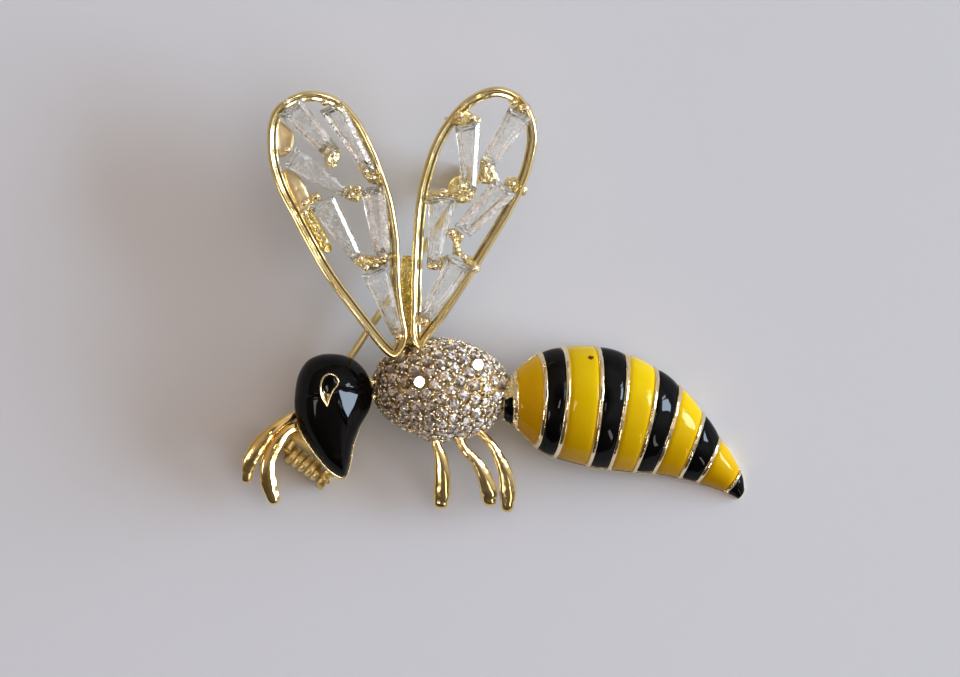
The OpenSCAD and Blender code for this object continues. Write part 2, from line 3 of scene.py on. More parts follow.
import bmesh
import bpy
import numpy as np
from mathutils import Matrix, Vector, noise


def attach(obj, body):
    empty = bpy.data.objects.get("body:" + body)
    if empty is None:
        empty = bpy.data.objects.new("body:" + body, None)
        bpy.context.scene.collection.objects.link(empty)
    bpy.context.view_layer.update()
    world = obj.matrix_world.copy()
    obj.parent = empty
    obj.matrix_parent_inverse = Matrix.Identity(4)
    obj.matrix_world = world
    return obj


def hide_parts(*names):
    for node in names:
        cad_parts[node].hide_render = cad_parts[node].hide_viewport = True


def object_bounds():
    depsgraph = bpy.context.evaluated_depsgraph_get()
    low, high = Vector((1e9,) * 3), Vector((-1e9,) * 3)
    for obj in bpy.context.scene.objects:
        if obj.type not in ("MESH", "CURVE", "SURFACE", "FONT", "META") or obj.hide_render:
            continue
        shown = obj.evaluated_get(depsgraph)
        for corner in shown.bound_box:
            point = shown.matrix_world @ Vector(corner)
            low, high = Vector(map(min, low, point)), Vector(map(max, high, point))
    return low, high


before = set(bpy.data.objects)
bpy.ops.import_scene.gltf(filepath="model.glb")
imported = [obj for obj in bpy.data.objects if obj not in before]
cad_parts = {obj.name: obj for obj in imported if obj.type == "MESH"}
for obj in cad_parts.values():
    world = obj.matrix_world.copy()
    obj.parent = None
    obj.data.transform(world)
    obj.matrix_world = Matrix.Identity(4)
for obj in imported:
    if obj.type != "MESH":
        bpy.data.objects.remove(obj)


def plain(box):
    return [[float(c) for c in corner] for corner in box]


CAD_BOX = plain(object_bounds())
MM = 0.001
SHIFT = np.array([-0.145, -0.155, 0.0])
RNG = np.random.default_rng(7)

# ---------------------------------------------------------------- levels, mm
WING_Z = 5.6
RIM_DEPTH = 1.65
RIM_W = 0.56
LEDGE_W = 1.08
LEDGE_D = 0.85
GIRDLE_Z = 6.9
CROWN_H = 0.5
RIM_Z = 3.5
CUP_TOP = 4.0
THORAX_H = 6.1
HEAD_H = 4.7
CHIN_H = 3.1
WIRE_W = 0.39
HINGE_Z = 1.4
COIL_R = 0.72
WIRE_D = 0.76
STEM_L = 34.2
POINT_L = 2.6
CATCH_L = 2.9

# ---------------------------------------------------------------- outlines, mm
LEFT_WING = [[-10.95, -5.05], [-13.95, -1.35], [-16.55, 2.15], [-18.35, 5.15], [-20.05, 8.35],
    [-21.5, 11.15], [-22.4, 14.15], [-22.5, 17.15], [-21.85, 19.25], [-20.25, 20.55],
    [-17.95, 21.05], [-15.45, 20.35], [-13.45, 18.4], [-11.85, 15.45], [-10.6, 12.25],
    [-9.85, 9.65], [-9.3, 6.15], [-9.15, 2.15], [-8.85, -0.85], [-8.45, -3.65], [-9.45, -5.65]]
RIGHT_WING = [[-8.15, -3.65], [-8.15, 0.15], [-8.1, 3.15], [-7.95, 6.35], [-7.65, 9.85],
    [-7.1, 12.65], [-6.1, 15.65], [-4.75, 18.05], [-2.85, 20.15], [-0.85, 21.25], [0.95, 21.45],
    [2.75, 20.65], [3.95, 18.95], [4.5, 16.65], [4.15, 14.15], [3.35, 11.65], [1.85, 8.65],
    [0.05, 5.65], [-2.15, 2.15], [-4.15, -0.85], [-6.05, -3.45], [-7.25, -4.85]]
BAGUETTES = {
    "l1": [[-21.35, 18.65], [-19.15, 20.30], [-15.25, 15.25], [-16.55, 14.25]],
    "l2": [[-17.30, 19.05], [-15.05, 20.00], [-11.55, 12.95], [-13.10, 13.05]],
    "l3": [[-20.80, 13.55], [-19.55, 15.50], [-14.15, 11.15], [-14.70, 10.25]],
    "l4": [[-18.35, 9.55], [-15.75, 10.60], [-13.05, 4.80], [-14.00, 4.00]],
    "l5": [[-13.20, 11.25], [-10.75, 11.65], [-10.15, 4.95], [-11.65, 4.15]],
    "l6": [[-13.05, 2.60], [-10.50, 3.75], [-8.95, -3.10], [-10.05, -3.40]],
    "r1": [[-3.75, 17.45], [-1.15, 18.00], [-1.55, 11.25], [-3.05, 11.10]],
    "r2": [[1.65, 19.45], [4.05, 18.30], [0.25, 13.45], [-1.20, 14.10]],
    "r3": [[-6.45, 10.70], [-3.55, 10.30], [-5.25, 3.95], [-6.55, 3.75]],
    "r4": [[0.30, 12.35], [2.45, 10.65], [-2.20, 6.45], [-3.80, 7.55]],
    "r5": [[-4.50, 4.75], [-2.00, 3.40], [-5.95, -1.90], [-7.25, -1.10]]}
CLAWS = [[-20.55, 19.9], [-16.75, 19.87], [-20.45, 15.15], [-15.95, 14.75], [-14.1, 10.7],
    [-13.45, 11.3], [-17.6, 10.5], [-18.75, 9.85], [-18.8, 8.85], [-13.2, 4.3], [-12.65, 3.4],
    [-11.65, 3.6], [-10.85, 4.5], [-11.95, 12.35], [-12.7, 13.0], [-9.35, -3.5], [-3.2, 18.55],
    [-2, 18.35], [2.05, 19.85], [3.3, 19.3], [-0.5, 13.65], [-4.85, 11.0], [-2.3, 10.7],
    [2, 11.75], [-4.1, 6.9], [-3.15, 6.45], [-5.85, 3.5], [-2.85, 4.45], [-1.75, 3.3],
    [-6.75, -2.0]]
TIES = [[-21.8, 16.3, -20.3, 16.1, 2.4], [-20.4, 12.4, -18.7, 10.1, 1.5], [-16.2, 14.9, -16.1, 13.9, 1.4],
    [-12.9, 13.4, -11.2, 12.3, 1.2], [-14.5, 10.8, -13.2, 10.9, 1.2], [-18.9, 9.0, -17.6, 10.5, 0.9],
    [-13.4, 4.1, -11.0, 4.2, 1.1], [-11.0, 4.3, -9.7, 4.6, 0.9], [-9.5, -3.1, -9.2, -4.6, 1.1],
    [-4.3, 18.1, -1.6, 18.1, 1.0], [2.28, 20.2, 3.95, 18.2, 0.9], [-0.6, 13.8, 0.0, 12.3, 1.5],
    [-4.94, 10.65, -2.0, 10.86, 0.9], [-7.0, 10.4, -5.6, 10.6, 0.8], [1.8, 11.6, 2.9, 11.2, 1.4],
    [-4.1, 7.0, -3.1, 6.5, 0.7], [-3.6, 6.8, -3.4, 4.8, 0.6], [-6.13, 3.72, -4.6, 4.15, 0.9],
    [-2.6, 4.0, -1.6, 3.3, 1.0], [-7.9, -1.6, -6.6, -1.7, 0.9], [-18.87, 8.82, -19.73, 8.92, 1.0]]
# gallery plates and bars seen beside the stones
PLATES = {
    "a": [[-21.65, 18.25], [-20.05, 17.05], [-19.8, 16.15], [-20.25, 14.85], [-21.35, 14.45], [-21.85, 16.15]],
    "b": [[-20.85, 13.15], [-19.35, 12.55], [-18.45, 10.95], [-18.25, 9.65], [-19.05, 8.65], [-20.25, 10.95]]}
BARS = [
    [[-17.05, 15.95], [-15.15, 15.15], [-15.25, 13.75], [-16.15, 13.25], [-17.05, 14.15]],
    [[-14.75, 11.55], [-14.05, 11.75], [-13.05, 11.25], [-13.15, 9.85], [-13.95, 9.85], [-14.75, 10.35]],
    [[-13.95, 4.55], [-13.15, 4.85], [-11.55, 4.45], [-10.05, 5.15], [-10.05, 3.95], [-10.85, 3.35],
     [-12.45, 2.85], [-13.55, 3.35]],
    [[-13.15, 13.95], [-11.45, 13.15], [-10.65, 12.55], [-10.75, 11.35], [-12.25, 11.65], [-13.25, 12.85]],
    [[-5.45, 11.35], [-4.35, 11.15], [-1.75, 11.15], [-1.55, 10.25], [-2.95, 10.15], [-5.15, 10.25]],
    [[-4.05, 18.95], [-2.95, 19.35], [-1.45, 18.75], [-1.05, 17.75], [-3.65, 17.25], [-4.55, 17.75]],
    [[1.25, 20.95], [2.35, 20.65], [3.75, 19.85], [4.35, 18.35], [4.25, 17.35], [3.55, 17.95], [1.65, 19.35]],
    [[-1.35, 14.15], [-0.25, 14.05], [0.35, 13.55], [0.45, 12.15], [-0.55, 11.45], [-1.45, 11.85]],
    [[-4.35, 7.35], [-3.55, 7.55], [-2.85, 6.35], [-3.15, 5.55], [-2.95, 4.55], [-4.05, 4.35],
     [-3.95, 5.75], [-4.45, 6.55]],
    [[-6.65, 4.35], [-5.25, 4.35], [-4.35, 4.75], [-4.55, 3.35], [-5.85, 2.95], [-6.65, 3.35]],
    [[-2.85, 4.95], [-1.25, 3.95], [-1.15, 2.95], [-2.25, 2.55], [-3.05, 3.55]],
    [[-8.15, -1.05], [-7.25, -1.05], [-6.05, -1.85], [-6.45, -2.65], [-8.15, -2.45]],
    [[1.25, 12.55], [2.95, 12.35], [2.75, 10.55], [1.95, 10.15], [1.15, 11.15]],
    [[-9.75, -2.85], [-8.05, -2.45], [-8.05, -4.35], [-9.25, -4.35]],
    [[-19.05, 10.55], [-17.45, 10.95], [-16.85, 10.15], [-18.25, 8.55], [-19.05, 8.95]],
    [[-6.65, 11.15], [-4.65, 10.95], [-5.25, 9.75], [-7.25, 9.55]]]
HEAD = [[-16.15, -5.2], [-14.75, -5.4], [-13.45, -6.1], [-12.45, -7.35], [-11.98, -9.05],
    [-12.25, -10.75], [-13.25, -12.55], [-13.95, -14.35], [-14.25, -16.15], [-14.85, -17.58],
    [-16.25, -16.95], [-17.85, -15.1], [-19.25, -12.85], [-19.8, -10.95], [-19.82, -9.35],
    [-19.5, -7.45], [-18.65, -6], [-17.45, -5.35]]
EYE = [[-16.2, -7.15], [-15.65, -7.35], [-15.28, -7.85], [-15.4, -8.45], [-15.8, -8.95],
    [-16.15, -9.75], [-16.45, -10.55], [-16.8, -10.15], [-17.15, -9.45], [-17.25, -8.65],
    [-17.1, -7.85], [-16.7, -7.3]]
PUPIL = [[-16.2, -7.4], [-15.87, -7.65], [-15.78, -8.05], [-15.95, -8.6], [-16.3, -9.05],
    [-16.65, -8.95], [-16.87, -8.45], [-16.75, -7.85], [-16.5, -7.5]]
ABDOMEN = [[1.15, -8.25, 1.05, -11.85, 1.10, -10.05, 3.9, 6.2],
    [2.20, -6.95, 2.30, -12.70, 2.40, -9.75, 3.6, 6.6],
    [4.55, -5.20, 4.25, -14.68, 5.30, -9.65, 3.3, 7.5],
    [7.00, -4.52, 6.15, -15.68, 7.55, -9.85, 2.9, 7.8],
    [10.30, -4.52, 9.45, -16.60, 10.85, -9.95, 2.4, 7.6],
    [13.25, -5.30, 11.60, -16.97, 13.30, -10.15, 1.9, 7.0],
    [16.10, -6.70, 14.10, -17.25, 16.10, -10.90, 1.5, 6.2],
    [18.65, -8.55, 16.10, -17.35, 18.20, -12.00, 1.2, 5.1],
    [21.10, -11.20, 18.75, -17.80, 20.50, -13.85, 0.8, 4.0],
    [22.83, -13.65, 20.58, -18.20, 22.18, -15.60, 0.5, 2.9],
    [24.88, -16.90, 23.33, -19.13, 24.40, -18.05, 0.2, 1.6],
    [25.31, -18.75, 24.65, -19.81, 25.13, -19.40, 0.2, 0.8]]
LEGS = {
    "rear_1": [[-5.85, -13.05, 4.6, 0.8, 0.9], [-5.6, -14.35, 4.5, 0.9, 0.95], [-5.2, -15.65, 4.1, 1.25, 1],
        [-5.03, -17.35, 3.4, 1.45, 1], [-5.07, -19.05, 2.5, 1.45, 1], [-5.17, -20.15, 1.9, 1.15, 0.85],
        [-5.22, -20.85, 1.5, 0.4, 0.4]],
    "rear_2": [[-3.65, -12.95, 4.6, 0.8, 0.9], [-2.75, -14.85, 4.4, 0.95, 0.95], [-1.7, -15.95, 4, 1.1, 1],
        [-0.9, -17.35, 3.4, 1.35, 1], [-0.42, -18.85, 2.6, 1.55, 1], [-0.32, -19.85, 2, 1.25, 0.85],
        [-0.35, -20.55, 1.6, 0.4, 0.4]],
    "rear_3": [[-1.55, -12.7, 4.6, 0.75, 0.9], [-0.05, -14.35, 4.4, 0.9, 0.95], [0.65, -15.65, 4, 1.1, 1],
        [1.27, -17.15, 3.4, 1.4, 1], [1.51, -18.85, 2.6, 1.5, 1], [1.49, -20.25, 1.9, 1.15, 0.85],
        [1.43, -21.15, 1.4, 0.4, 0.4]],
    "front_1": [[-19.0, -10.95, 3.45, 0.85, 0.7], [-20.75, -11.9, 3.9, 1, 0.95], [-22.15, -13, 4.2, 1.15, 1],
        [-23.4, -14.4, 3.8, 1.4, 1], [-24.25, -15.85, 3.2, 1.4, 1], [-24.65, -17.15, 2.6, 1.1, 0.85],
        [-24.72, -18.25, 2.1, 0.35, 0.4]],
    "front_2": [[-18.6, -12.15, 3.45, 0.85, 0.7], [-20.4, -12.85, 3.8, 1.1, 0.95], [-21.7, -14.35, 4, 1.4, 1],
        [-22.47, -16.05, 3.6, 1.6, 1], [-22.47, -17.85, 3, 1.65, 1], [-22.1, -19.25, 2.4, 1.4, 0.9],
        [-21.7, -20.35, 1.9, 0.4, 0.4]]}
THORAX = np.array([-5.2, -8.85])
# outline of the pave dome
THORAX_OUT = [[1.75, -9.2], [1.0, -10.95], [-0.35, -12.6], [-2.4, -13.55], [-5.2, -14.0], [-6.6, -13.85],
    [-9.1, -12.65], [-10.7, -11.5], [-11.6, -10.3], [-11.98, -8.9], [-11.9, -7.6], [-11.3, -6.2], [-10.0, -4.85],
    [-8.1, -3.95], [-5.3, -3.7], [-3.4, -3.95], [-1.4, -4.75], [0.2, -5.8], [1.25, -7.1]]
HINGE = np.array([-20.61, -14.95])
CATCH = np.array([-2.52, 11.85])
TUBE_A = np.array([-20.05, 11.45])
TUBE_B = np.array([-16.3, 4.9])
STEM_DIR = (CATCH - HINGE) / np.linalg.norm(CATCH - HINGE)
CATCH_AT = float(np.linalg.norm(CATCH - HINGE))


# ---------------------------------------------------------------- curves
def blend(p0, p1, p2, p3, t):
    return 0.5 * (2 * p1 + (p2 - p0) * t + (2 * p0 - 5 * p1 + 4 * p2 - p3) * t * t
                  + (3 * p1 - p0 - 3 * p2 + p3) * t * t * t)


def row_at(tab, u):
    n = len(tab) - 1
    i = max(0, min(int(math.floor(u)), n - 1))
    return blend(tab[max(i - 1, 0)], tab[i], tab[i + 1], tab[min(i + 2, n)], u - i)


def outline(p, n):
    p = np.asarray(p, float)
    m = len(p)
    return np.array([blend(p[i - 1], p[i], p[(i + 1) % m], p[(i + 2) % m], k / n)
                     for i in range(m) for k in range(n)])


def area2(p):
    q = np.roll(p, -1, axis=0)
    return float(np.sum(p[:, 0] * q[:, 1] - q[:, 0] * p[:, 1]))


def ccw(p):
    p = np.asarray(p, float)
    return p if area2(p) > 0 else p[::-1].copy()


def normals2(p):
    """inward unit normals of a closed outline, scaled for a mitred offset"""
    s = 1.0 if area2(p) > 0 else -1.0
    e = p - np.roll(p, 1, axis=0)
    f = np.roll(p, -1, axis=0) - p
    e /= np.linalg.norm(e, axis=1)[:, None]
    f /= np.linalg.norm(f, axis=1)[:, None]
    n1 = s * np.stack([-e[:, 1], e[:, 0]], 1)
    n2 = s * np.stack([-f[:, 1], f[:, 0]], 1)
    return (n1 + n2) / (1 + np.sum(n1 * n2, axis=1))[:, None]


def inset(p, d):
    p = np.asarray(p, float)
    return p + normals2(p) * d


def even(p, n):
    """closed outline resampled to n points at even spacing"""
    p = np.asarray(p, float)
    q = np.vstack([p, p[:1]])
    s = np.r_[0, np.cumsum(np.linalg.norm(np.diff(q, axis=0), axis=1))]
    t = np.linspace(0, s[-1], n, endpoint=False)
    return np.stack([np.interp(t, s, q[:, k]) for k in range(2)], 1)


def at(p, z):
    p = np.asarray(p, float)
    z = np.broadcast_to(np.asarray(z, float), (len(p),))
    return np.column_stack([p, z])


def fbm(p, scale, octaves=3, seed=0.0):
    """smooth noise of position, about -1 to 1, p in mm and scale in mm"""
    v = Vector((p[0] / scale + seed, p[1] / scale - seed * 0.7, p[2] / scale + seed * 0.31))
    return noise.fractal(v, 1.0, 2.0, octaves)


def wobble(verts, scale, amp, seed=0.0, octaves=2, axis=None):
    out = np.array(verts, float)
    for i, p in enumerate(out):
        if axis is None:
            out[i] += amp * np.array([fbm(p, scale, octaves, seed), fbm(p, scale, octaves, seed + 17.3),
                                      fbm(p, scale, octaves, seed + 41.9)])
        else:
            out[i] += amp * fbm(p, scale, octaves, seed) * axis
    return out


# ---------------------------------------------------------------- meshes
class Build:
    """collects vertices and faces of one piece, in mm"""

    def __init__(self):
        self.v, self.f, self.m, self.n = [], [], [], 0

    def add(self, verts, faces, mat=0):
        verts = np.asarray(verts, float).reshape(-1, 3)
        self.v.append(verts)
        self.f += [tuple(int(i) + self.n for i in f) for f in faces]
        self.m += [mat] * len(faces)
        self.n += len(verts)
        return self

    def verts(self):
        return np.vstack(self.v)


def grid(rows, close_u=False, close_v=False, cap0=False, cap1=False):
    """verts and faces of a grid of rings, each a list of points"""
    rows = [np.asarray(r, float) for r in rows]
    n, m = len(rows), len(rows[0])
    v = list(np.vstack(rows))
    f = []
    for i in range(n if close_u else n - 1):
        for j in range(m if close_v else m - 1):
            a, b = i * m + j, ((i + 1) % n) * m + j
            c, d = ((i + 1) % n) * m + (j + 1) % m, i * m + (j + 1) % m
            f.append((a, b, c, d))
    if cap0:
        v.append(rows[0].mean(axis=0))
        k = len(v) - 1
        f += [(k, j, (j + 1) % m) for j in range(m)]
    if cap1:
        v.append(rows[-1].mean(axis=0))
        k = len(v) - 1
        o = (n - 1) * m
        f += [(k, o + (j + 1) % m, o + j) for j in range(m)]
    return np.array(v), f


def shell(outer, inner):
    """closed solid between two grids of the same size"""
    n, m = len(outer), len(outer[0])
    v = np.vstack([np.vstack(outer), np.vstack(inner)])
    o = n * m
    f = []
    for i in range(n - 1):
        for j in range(m - 1):
            a, b, c, d = i * m + j, (i + 1) * m + j, (i + 1) * m + j + 1, i * m + j + 1
            f.append((a, b, c, d))
            f.append((o + a, o + d, o + c, o + b))
    for i in range(n - 1):
        a, b = i * m, (i + 1) * m
        f.append((a, o + a, o + b, b))
        a, b = i * m + m - 1, (i + 1) * m + m - 1
        f.append((a, b, o + b, o + a))
    for j in range(m - 1):
        a, b = j, j + 1
        f.append((a, b, o + b, o + a))
        a, b = (n - 1) * m + j, (n - 1) * m + j + 1
        f.append((a, o + a, o + b, b))
    return v, f


def ball(centre, r, nu=12, nv=8, squash=1.0, lean=(0.0, 0.0)):
    rows = []
    for i in range(1, nv):
        t = math.pi * i / nv
        z = math.cos(t) * r * squash
        rows.append([[centre[0] + r * math.sin(t) * math.cos(2 * math.pi * j / nu) + lean[0] * z,
                      centre[1] + r * math.sin(t) * math.sin(2 * math.pi * j / nu) + lean[1] * z,
                      centre[2] + z] for j in range(nu)])
    v, f = grid(rows, close_v=True, cap0=True, cap1=True)
    v[-2] = [centre[0] + lean[0] * r * squash, centre[1] + lean[1] * r * squash, centre[2] + r * squash]
    v[-1] = [centre[0] - lean[0] * r * squash, centre[1] - lean[1] * r * squash, centre[2] - r * squash]
    return v, f


def tube(points, radii, sides=16, closed_ends=True):
    """round tube along a path"""
    p = np.asarray(points, float)
    radii = np.broadcast_to(np.asarray(radii, float), (len(p),))
    t = np.gradient(p, axis=0)
    t /= np.linalg.norm(t, axis=1)[:, None]
    up = np.array([0, 0, 1.0]) if abs(t[0][2]) < 0.9 else np.array([1.0, 0, 0])
    a = np.cross(t[0], up)
    a /= np.linalg.norm(a)
    rows = []
    for i in range(len(p)):
        a = a - t[i] * np.dot(a, t[i])
        a /= np.linalg.norm(a)
        b = np.cross(t[i], a)
        rows.append([p[i] + radii[i] * (math.cos(2 * math.pi * k / sides) * a + math.sin(2 * math.pi * k / sides) * b)
                     for k in range(sides)])
    return grid(rows, close_v=True, cap0=closed_ends, cap1=closed_ends)


def make(name, b, mats, body="brooch", angle=None, replaces=()):
    me = bpy.data.meshes.new(name)
    v = np.clip((b.verts() + SHIFT) * MM, CAD_BOX[0], CAD_BOX[1])
    me.from_pydata(v.tolist(), [], b.f)
    me.validate()
    for m in mats:
        me.materials.append(m)
    me.polygons.foreach_set("material_index", b.m)
    bm = bmesh.new()
    bm.from_mesh(me)
    bmesh.ops.recalc_face_normals(bm, faces=bm.faces)
    bm.to_mesh(me)
    bm.free()
    if angle == 0:
        me.shade_flat()
    else:
        me.shade_smooth()
        if angle:
            me.set_sharp_from_angle(angle=math.radians(angle))
    me.update()
    o = bpy.data.objects.new(name, me)
    bpy.context.scene.collection.objects.link(o)
    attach(o, body)
    if replaces:
        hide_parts(*replaces)
    return o


# ---------------------------------------------------------------- materials
class Mat:
    def __init__(self, name):
        self.m = bpy.data.materials.new(name)
        self.m.use_nodes = True
        self.t = self.m.node_tree
        self.b = self.t.nodes["Principled BSDF"]
        self.out = self.t.nodes["Material Output"]
        self.co = None

    def node(self, kind, **kw):
        n = self.t.nodes.new(kind)
        for k, v in kw.items():
            setattr(n, k, v)
        return n

    def link(self, a, b):
        self.t.links.new(a, b)

    def coord(self):
        if self.co is None:
            self.co = self.node("ShaderNodeTexCoord").outputs["Object"]
        return self.co

    def set(self, **kw):
        for k, v in kw.items():
            s = self.b.inputs[k.replace("_", " ")]
            s.default_value = v
        return self

    def noise(self, scale, detail=3.0, rough=0.5, distortion=0.0, stretch=None):
        n = self.node("ShaderNodeTexNoise")
        n.inputs["Scale"].default_value = scale
        n.inputs["Detail"].default_value = detail
        n.inputs["Roughness"].default_value = rough
        n.inputs["Distortion"].default_value = distortion
        if stretch:
            mp = self.node("ShaderNodeMapping")
            mp.inputs["Scale"].default_value = stretch
            self.link(self.coord(), mp.inputs["Vector"])
            self.link(mp.outputs["Vector"], n.inputs["Vector"])
        else:
            self.link(self.coord(), n.inputs["Vector"])
        return n

    def ramp(self, src, stops, interp="LINEAR"):
        r = self.node("ShaderNodeValToRGB")
        r.color_ramp.interpolation = interp
        while len(r.color_ramp.elements) < len(stops):
            r.color_ramp.elements.new(0.5)
        for e, (pos, col) in zip(r.color_ramp.elements, stops):
            e.position = pos
            e.color = (col, col, col, 1) if np.isscalar(col) else (*col, 1)
        self.link(src, r.inputs["Fac"])
        return r

    def bump(self, src, strength, distance, prev=None):
        b = self.node("ShaderNodeBump")
        b.inputs["Strength"].default_value = strength
        b.inputs["Distance"].default_value = distance
        self.link(src, b.inputs["Height"])
        if prev is not None:
            self.link(prev, b.inputs["Normal"])
        return b.outputs["Normal"]


def gold(name, base, tint, rough=(0.08, 0.2), grain=0.0, grain_size=0.25, scratches=0.3):
    """cast and polished gold plate: slow colour drift, uneven polish, fine scratches, cast grain"""
    m = Mat(name)
    m.set(Metallic=1.0)
    drift = m.noise(260.0, 3.0, 0.55)
    m.link(m.ramp(drift.outputs["Fac"], [(0.35, base), (0.7, tint)]).outputs["Color"], m.b.inputs["Base Color"])
    polish = m.noise(900.0, 4.0, 0.6)
    m.link(m.ramp(polish.outputs["Fac"], [(0.35, rough[0]), (0.72, rough[1])]).outputs["Color"], m.b.inputs["Roughness"])
    waves = m.noise(700.0, 2.0, 0.4)
    n = m.bump(waves.outputs["Fac"], 0.18, 0.00006)
    if scratches:
        fine = m.noise(5200.0, 2.0, 0.6, 0.2)
        n = m.bump(fine.outputs["Fac"], scratches * 0.35, 0.00001, n)
    if grain:
        g = m.noise(1000.0 / grain_size, 2.0, 0.55)
        n = m.bump(g.outputs["Fac"], grain, 0.0001, n)
    m.link(n, m.b.inputs["Normal"])
    return m.m


GOLD = gold("polished_gold", (0.86, 0.68, 0.31), (0.93, 0.79, 0.46))
LEG_GOLD = gold("leg_gold", (0.88, 0.62, 0.23), (0.95, 0.75, 0.36), rough=(0.12, 0.24))
STREAK_GOLD = gold("leg_gold_bright", (0.88, 0.62, 0.23), (0.95, 0.75, 0.36), rough=(0.06, 0.12))
CAST_GOLD = gold("cast_gold", (0.82, 0.66, 0.30), (0.92, 0.78, 0.44), rough=(0.16, 0.34), grain=0.5, grain_size=0.22)
AMBER_GOLD = gold("gallery_gold", (0.74, 0.54, 0.22), (0.86, 0.68, 0.34), rough=(0.2, 0.38), grain=0.25, grain_size=0.3)
BEAD_GOLD = gold("bead_gold", (0.92, 0.75, 0.46), (0.98, 0.88, 0.68), rough=(0.05, 0.14), scratches=0.15)
FOIL = gold("stone_seat", (0.90, 0.76, 0.57), (0.98, 0.89, 0.75), rough=(0.06, 0.14))
PALE_GOLD = gold("wire_gold", (0.88, 0.70, 0.38), (0.97, 0.86, 0.62), rough=(0.05, 0.15), grain=0.55, grain_size=0.6)
BACK_GOLD = gold("back_gold", (0.66, 0.45, 0.14), (0.80, 0.58, 0.24), rough=(0.3, 0.5), grain=0.6, grain_size=0.3)
PIN_GOLD = gold("spring_gold", (0.80, 0.64, 0.29), (0.90, 0.76, 0.42), rough=(0.3, 0.44))
PLATE_GOLD = gold("plate_gold", (0.66, 0.48, 0.24), (0.80, 0.63, 0.38), rough=(0.36, 0.5), scratches=0.1)
WEB_GOLD = gold("web_gold", (0.56, 0.45, 0.16), (0.84, 0.73, 0.36), rough=(0.2, 0.38), grain=0.7, grain_size=0.24)
# darker gold of the thorax dome: painted shade, so that the gaps between the pavé stones look dark
GAP_SHADE_GOLD = gold("gap_shade_gold", (0.40, 0.27, 0.10), (0.62, 0.46, 0.22), rough=(0.25, 0.4), grain=0.3, grain_size=0.3)


def black_enamel(name, speck=True):
    m = Mat(name)
    m.set(Roughness=0.045, IOR=1.52)
    edge = m.node("ShaderNodeLayerWeight")
    edge.inputs["Blend"].default_value = 0.5
    fall = m.node("ShaderNodeMapRange")
    fall.inputs["From Min"].default_value = 0.14
    fall.inputs["From Max"].default_value = 0.7
    fall.inputs["To Min"].default_value = 0.14
    fall.inputs["To Max"].default_value = 0.03
    m.link(edge.outputs["Facing"], fall.inputs["Value"])
    m.link(fall.outputs["Result"], m.b.inputs["Specular IOR Level"])
    tone = m.noise(420.0, 3.0, 0.5)
    m.link(m.ramp(tone.outputs["Fac"], [(0.3, (0.0012, 0.0012, 0.0014)), (0.75, (0.0034, 0.003, 0.0032))]).outputs["Color"],
           m.b.inputs["Base Color"])
    n = m.bump(m.noise(900.0, 2.0, 0.5, 0.4).outputs["Fac"], 0.2 if speck else 0.03, 0.00006)
    n = m.bump(m.noise(3600.0, 2.0, 0.5).outputs["Fac"], 0.02, 0.00001, n)
    m.link(n, m.b.inputs["Normal"])
    return m.m


def yellow_enamel(name, shaded_side, light, speck_at=None):
    """translucent yellow enamel with painted shade: darker towards the lower edge, lighter above, under a random cloudy
    tone
    """
    m = Mat(name)
    m.b.inputs["Specular IOR Level"].default_value = 0.22
    m.set(Roughness=0.07, IOR=1.45, Specular_Tint=(1.0, 0.9, 0.6, 1.0), Subsurface_Weight=0.1,
          Subsurface_Radius=(0.0006, 0.0004, 0.0001), Subsurface_Scale=1.0)
    # painted shade: the colour runs from the shaded colour at the lower (-Y) edge to the lit colour above, mixed with
    # random cloud
    sep = m.node("ShaderNodeSeparateXYZ")
    m.link(m.coord(), sep.inputs["Vector"])
    mr = m.node("ShaderNodeMapRange")
    mr.inputs["From Min"].default_value = -0.0185
    mr.inputs["From Max"].default_value = -0.0045
    m.link(sep.outputs["Y"], mr.inputs["Value"])
    cloud = m.noise(330.0, 3.0, 0.5)
    add = m.node("ShaderNodeMath", operation="MULTIPLY_ADD")
    m.link(cloud.outputs["Fac"], add.inputs[0])
    add.inputs[1].default_value = 0.36
    sub = m.node("ShaderNodeMath", operation="SUBTRACT")
    m.link(mr.outputs["Result"], sub.inputs[0])
    sub.inputs[1].default_value = 0.18
    m.link(sub.outputs["Value"], add.inputs[2])
    col = m.ramp(add.outputs["Value"], [(0.05, shaded_side), (0.55, tuple((a + b) / 2 for a, b in zip(shaded_side, light))), (0.95, light)])
    last = col.outputs["Color"]
    if speck_at:
        d = m.node("ShaderNodeVectorMath", operation="DISTANCE")
        m.link(m.coord(), d.inputs[0])
        d.inputs[1].default_value = speck_at
        fuzz = m.noise(3800.0, 2.0, 0.6)
        w = m.node("ShaderNodeMath", operation="MULTIPLY_ADD")
        m.link(fuzz.outputs["Fac"], w.inputs[0])
        w.inputs[1].default_value = 0.0003
        m.link(d.outputs["Value"], w.inputs[2])
        f = m.node("ShaderNodeMapRange")
        f.inputs["From Min"].default_value = 0.0004
        f.inputs["From Max"].default_value = 0.00048
        f.inputs["To Min"].default_value = 1.0
        f.inputs["To Max"].default_value = 0.0
        m.link(w.outputs["Value"], f.inputs["Value"])
        mix = m.node("ShaderNodeMix", data_type="RGBA")
        m.link(f.outputs["Result"], mix.inputs[0])
        m.link(last, mix.inputs[6])
        mix.inputs[7].default_value = (0.14, 0.012, 0.004, 1)
        last = mix.outputs[2]
    m.link(last, m.b.inputs["Base Color"])
    n = m.bump(m.noise(900.0, 2.0, 0.5, 0.4).outputs["Fac"], 0.2, 0.00006)
    n = m.bump(m.noise(4200.0, 2.0, 0.5).outputs["Fac"], 0.03, 0.00001, n)
    m.link(n, m.b.inputs["Normal"])
    return m.m


BLACK = black_enamel("black_enamel")
HEAD_BLACK = black_enamel("head_enamel", speck=False)
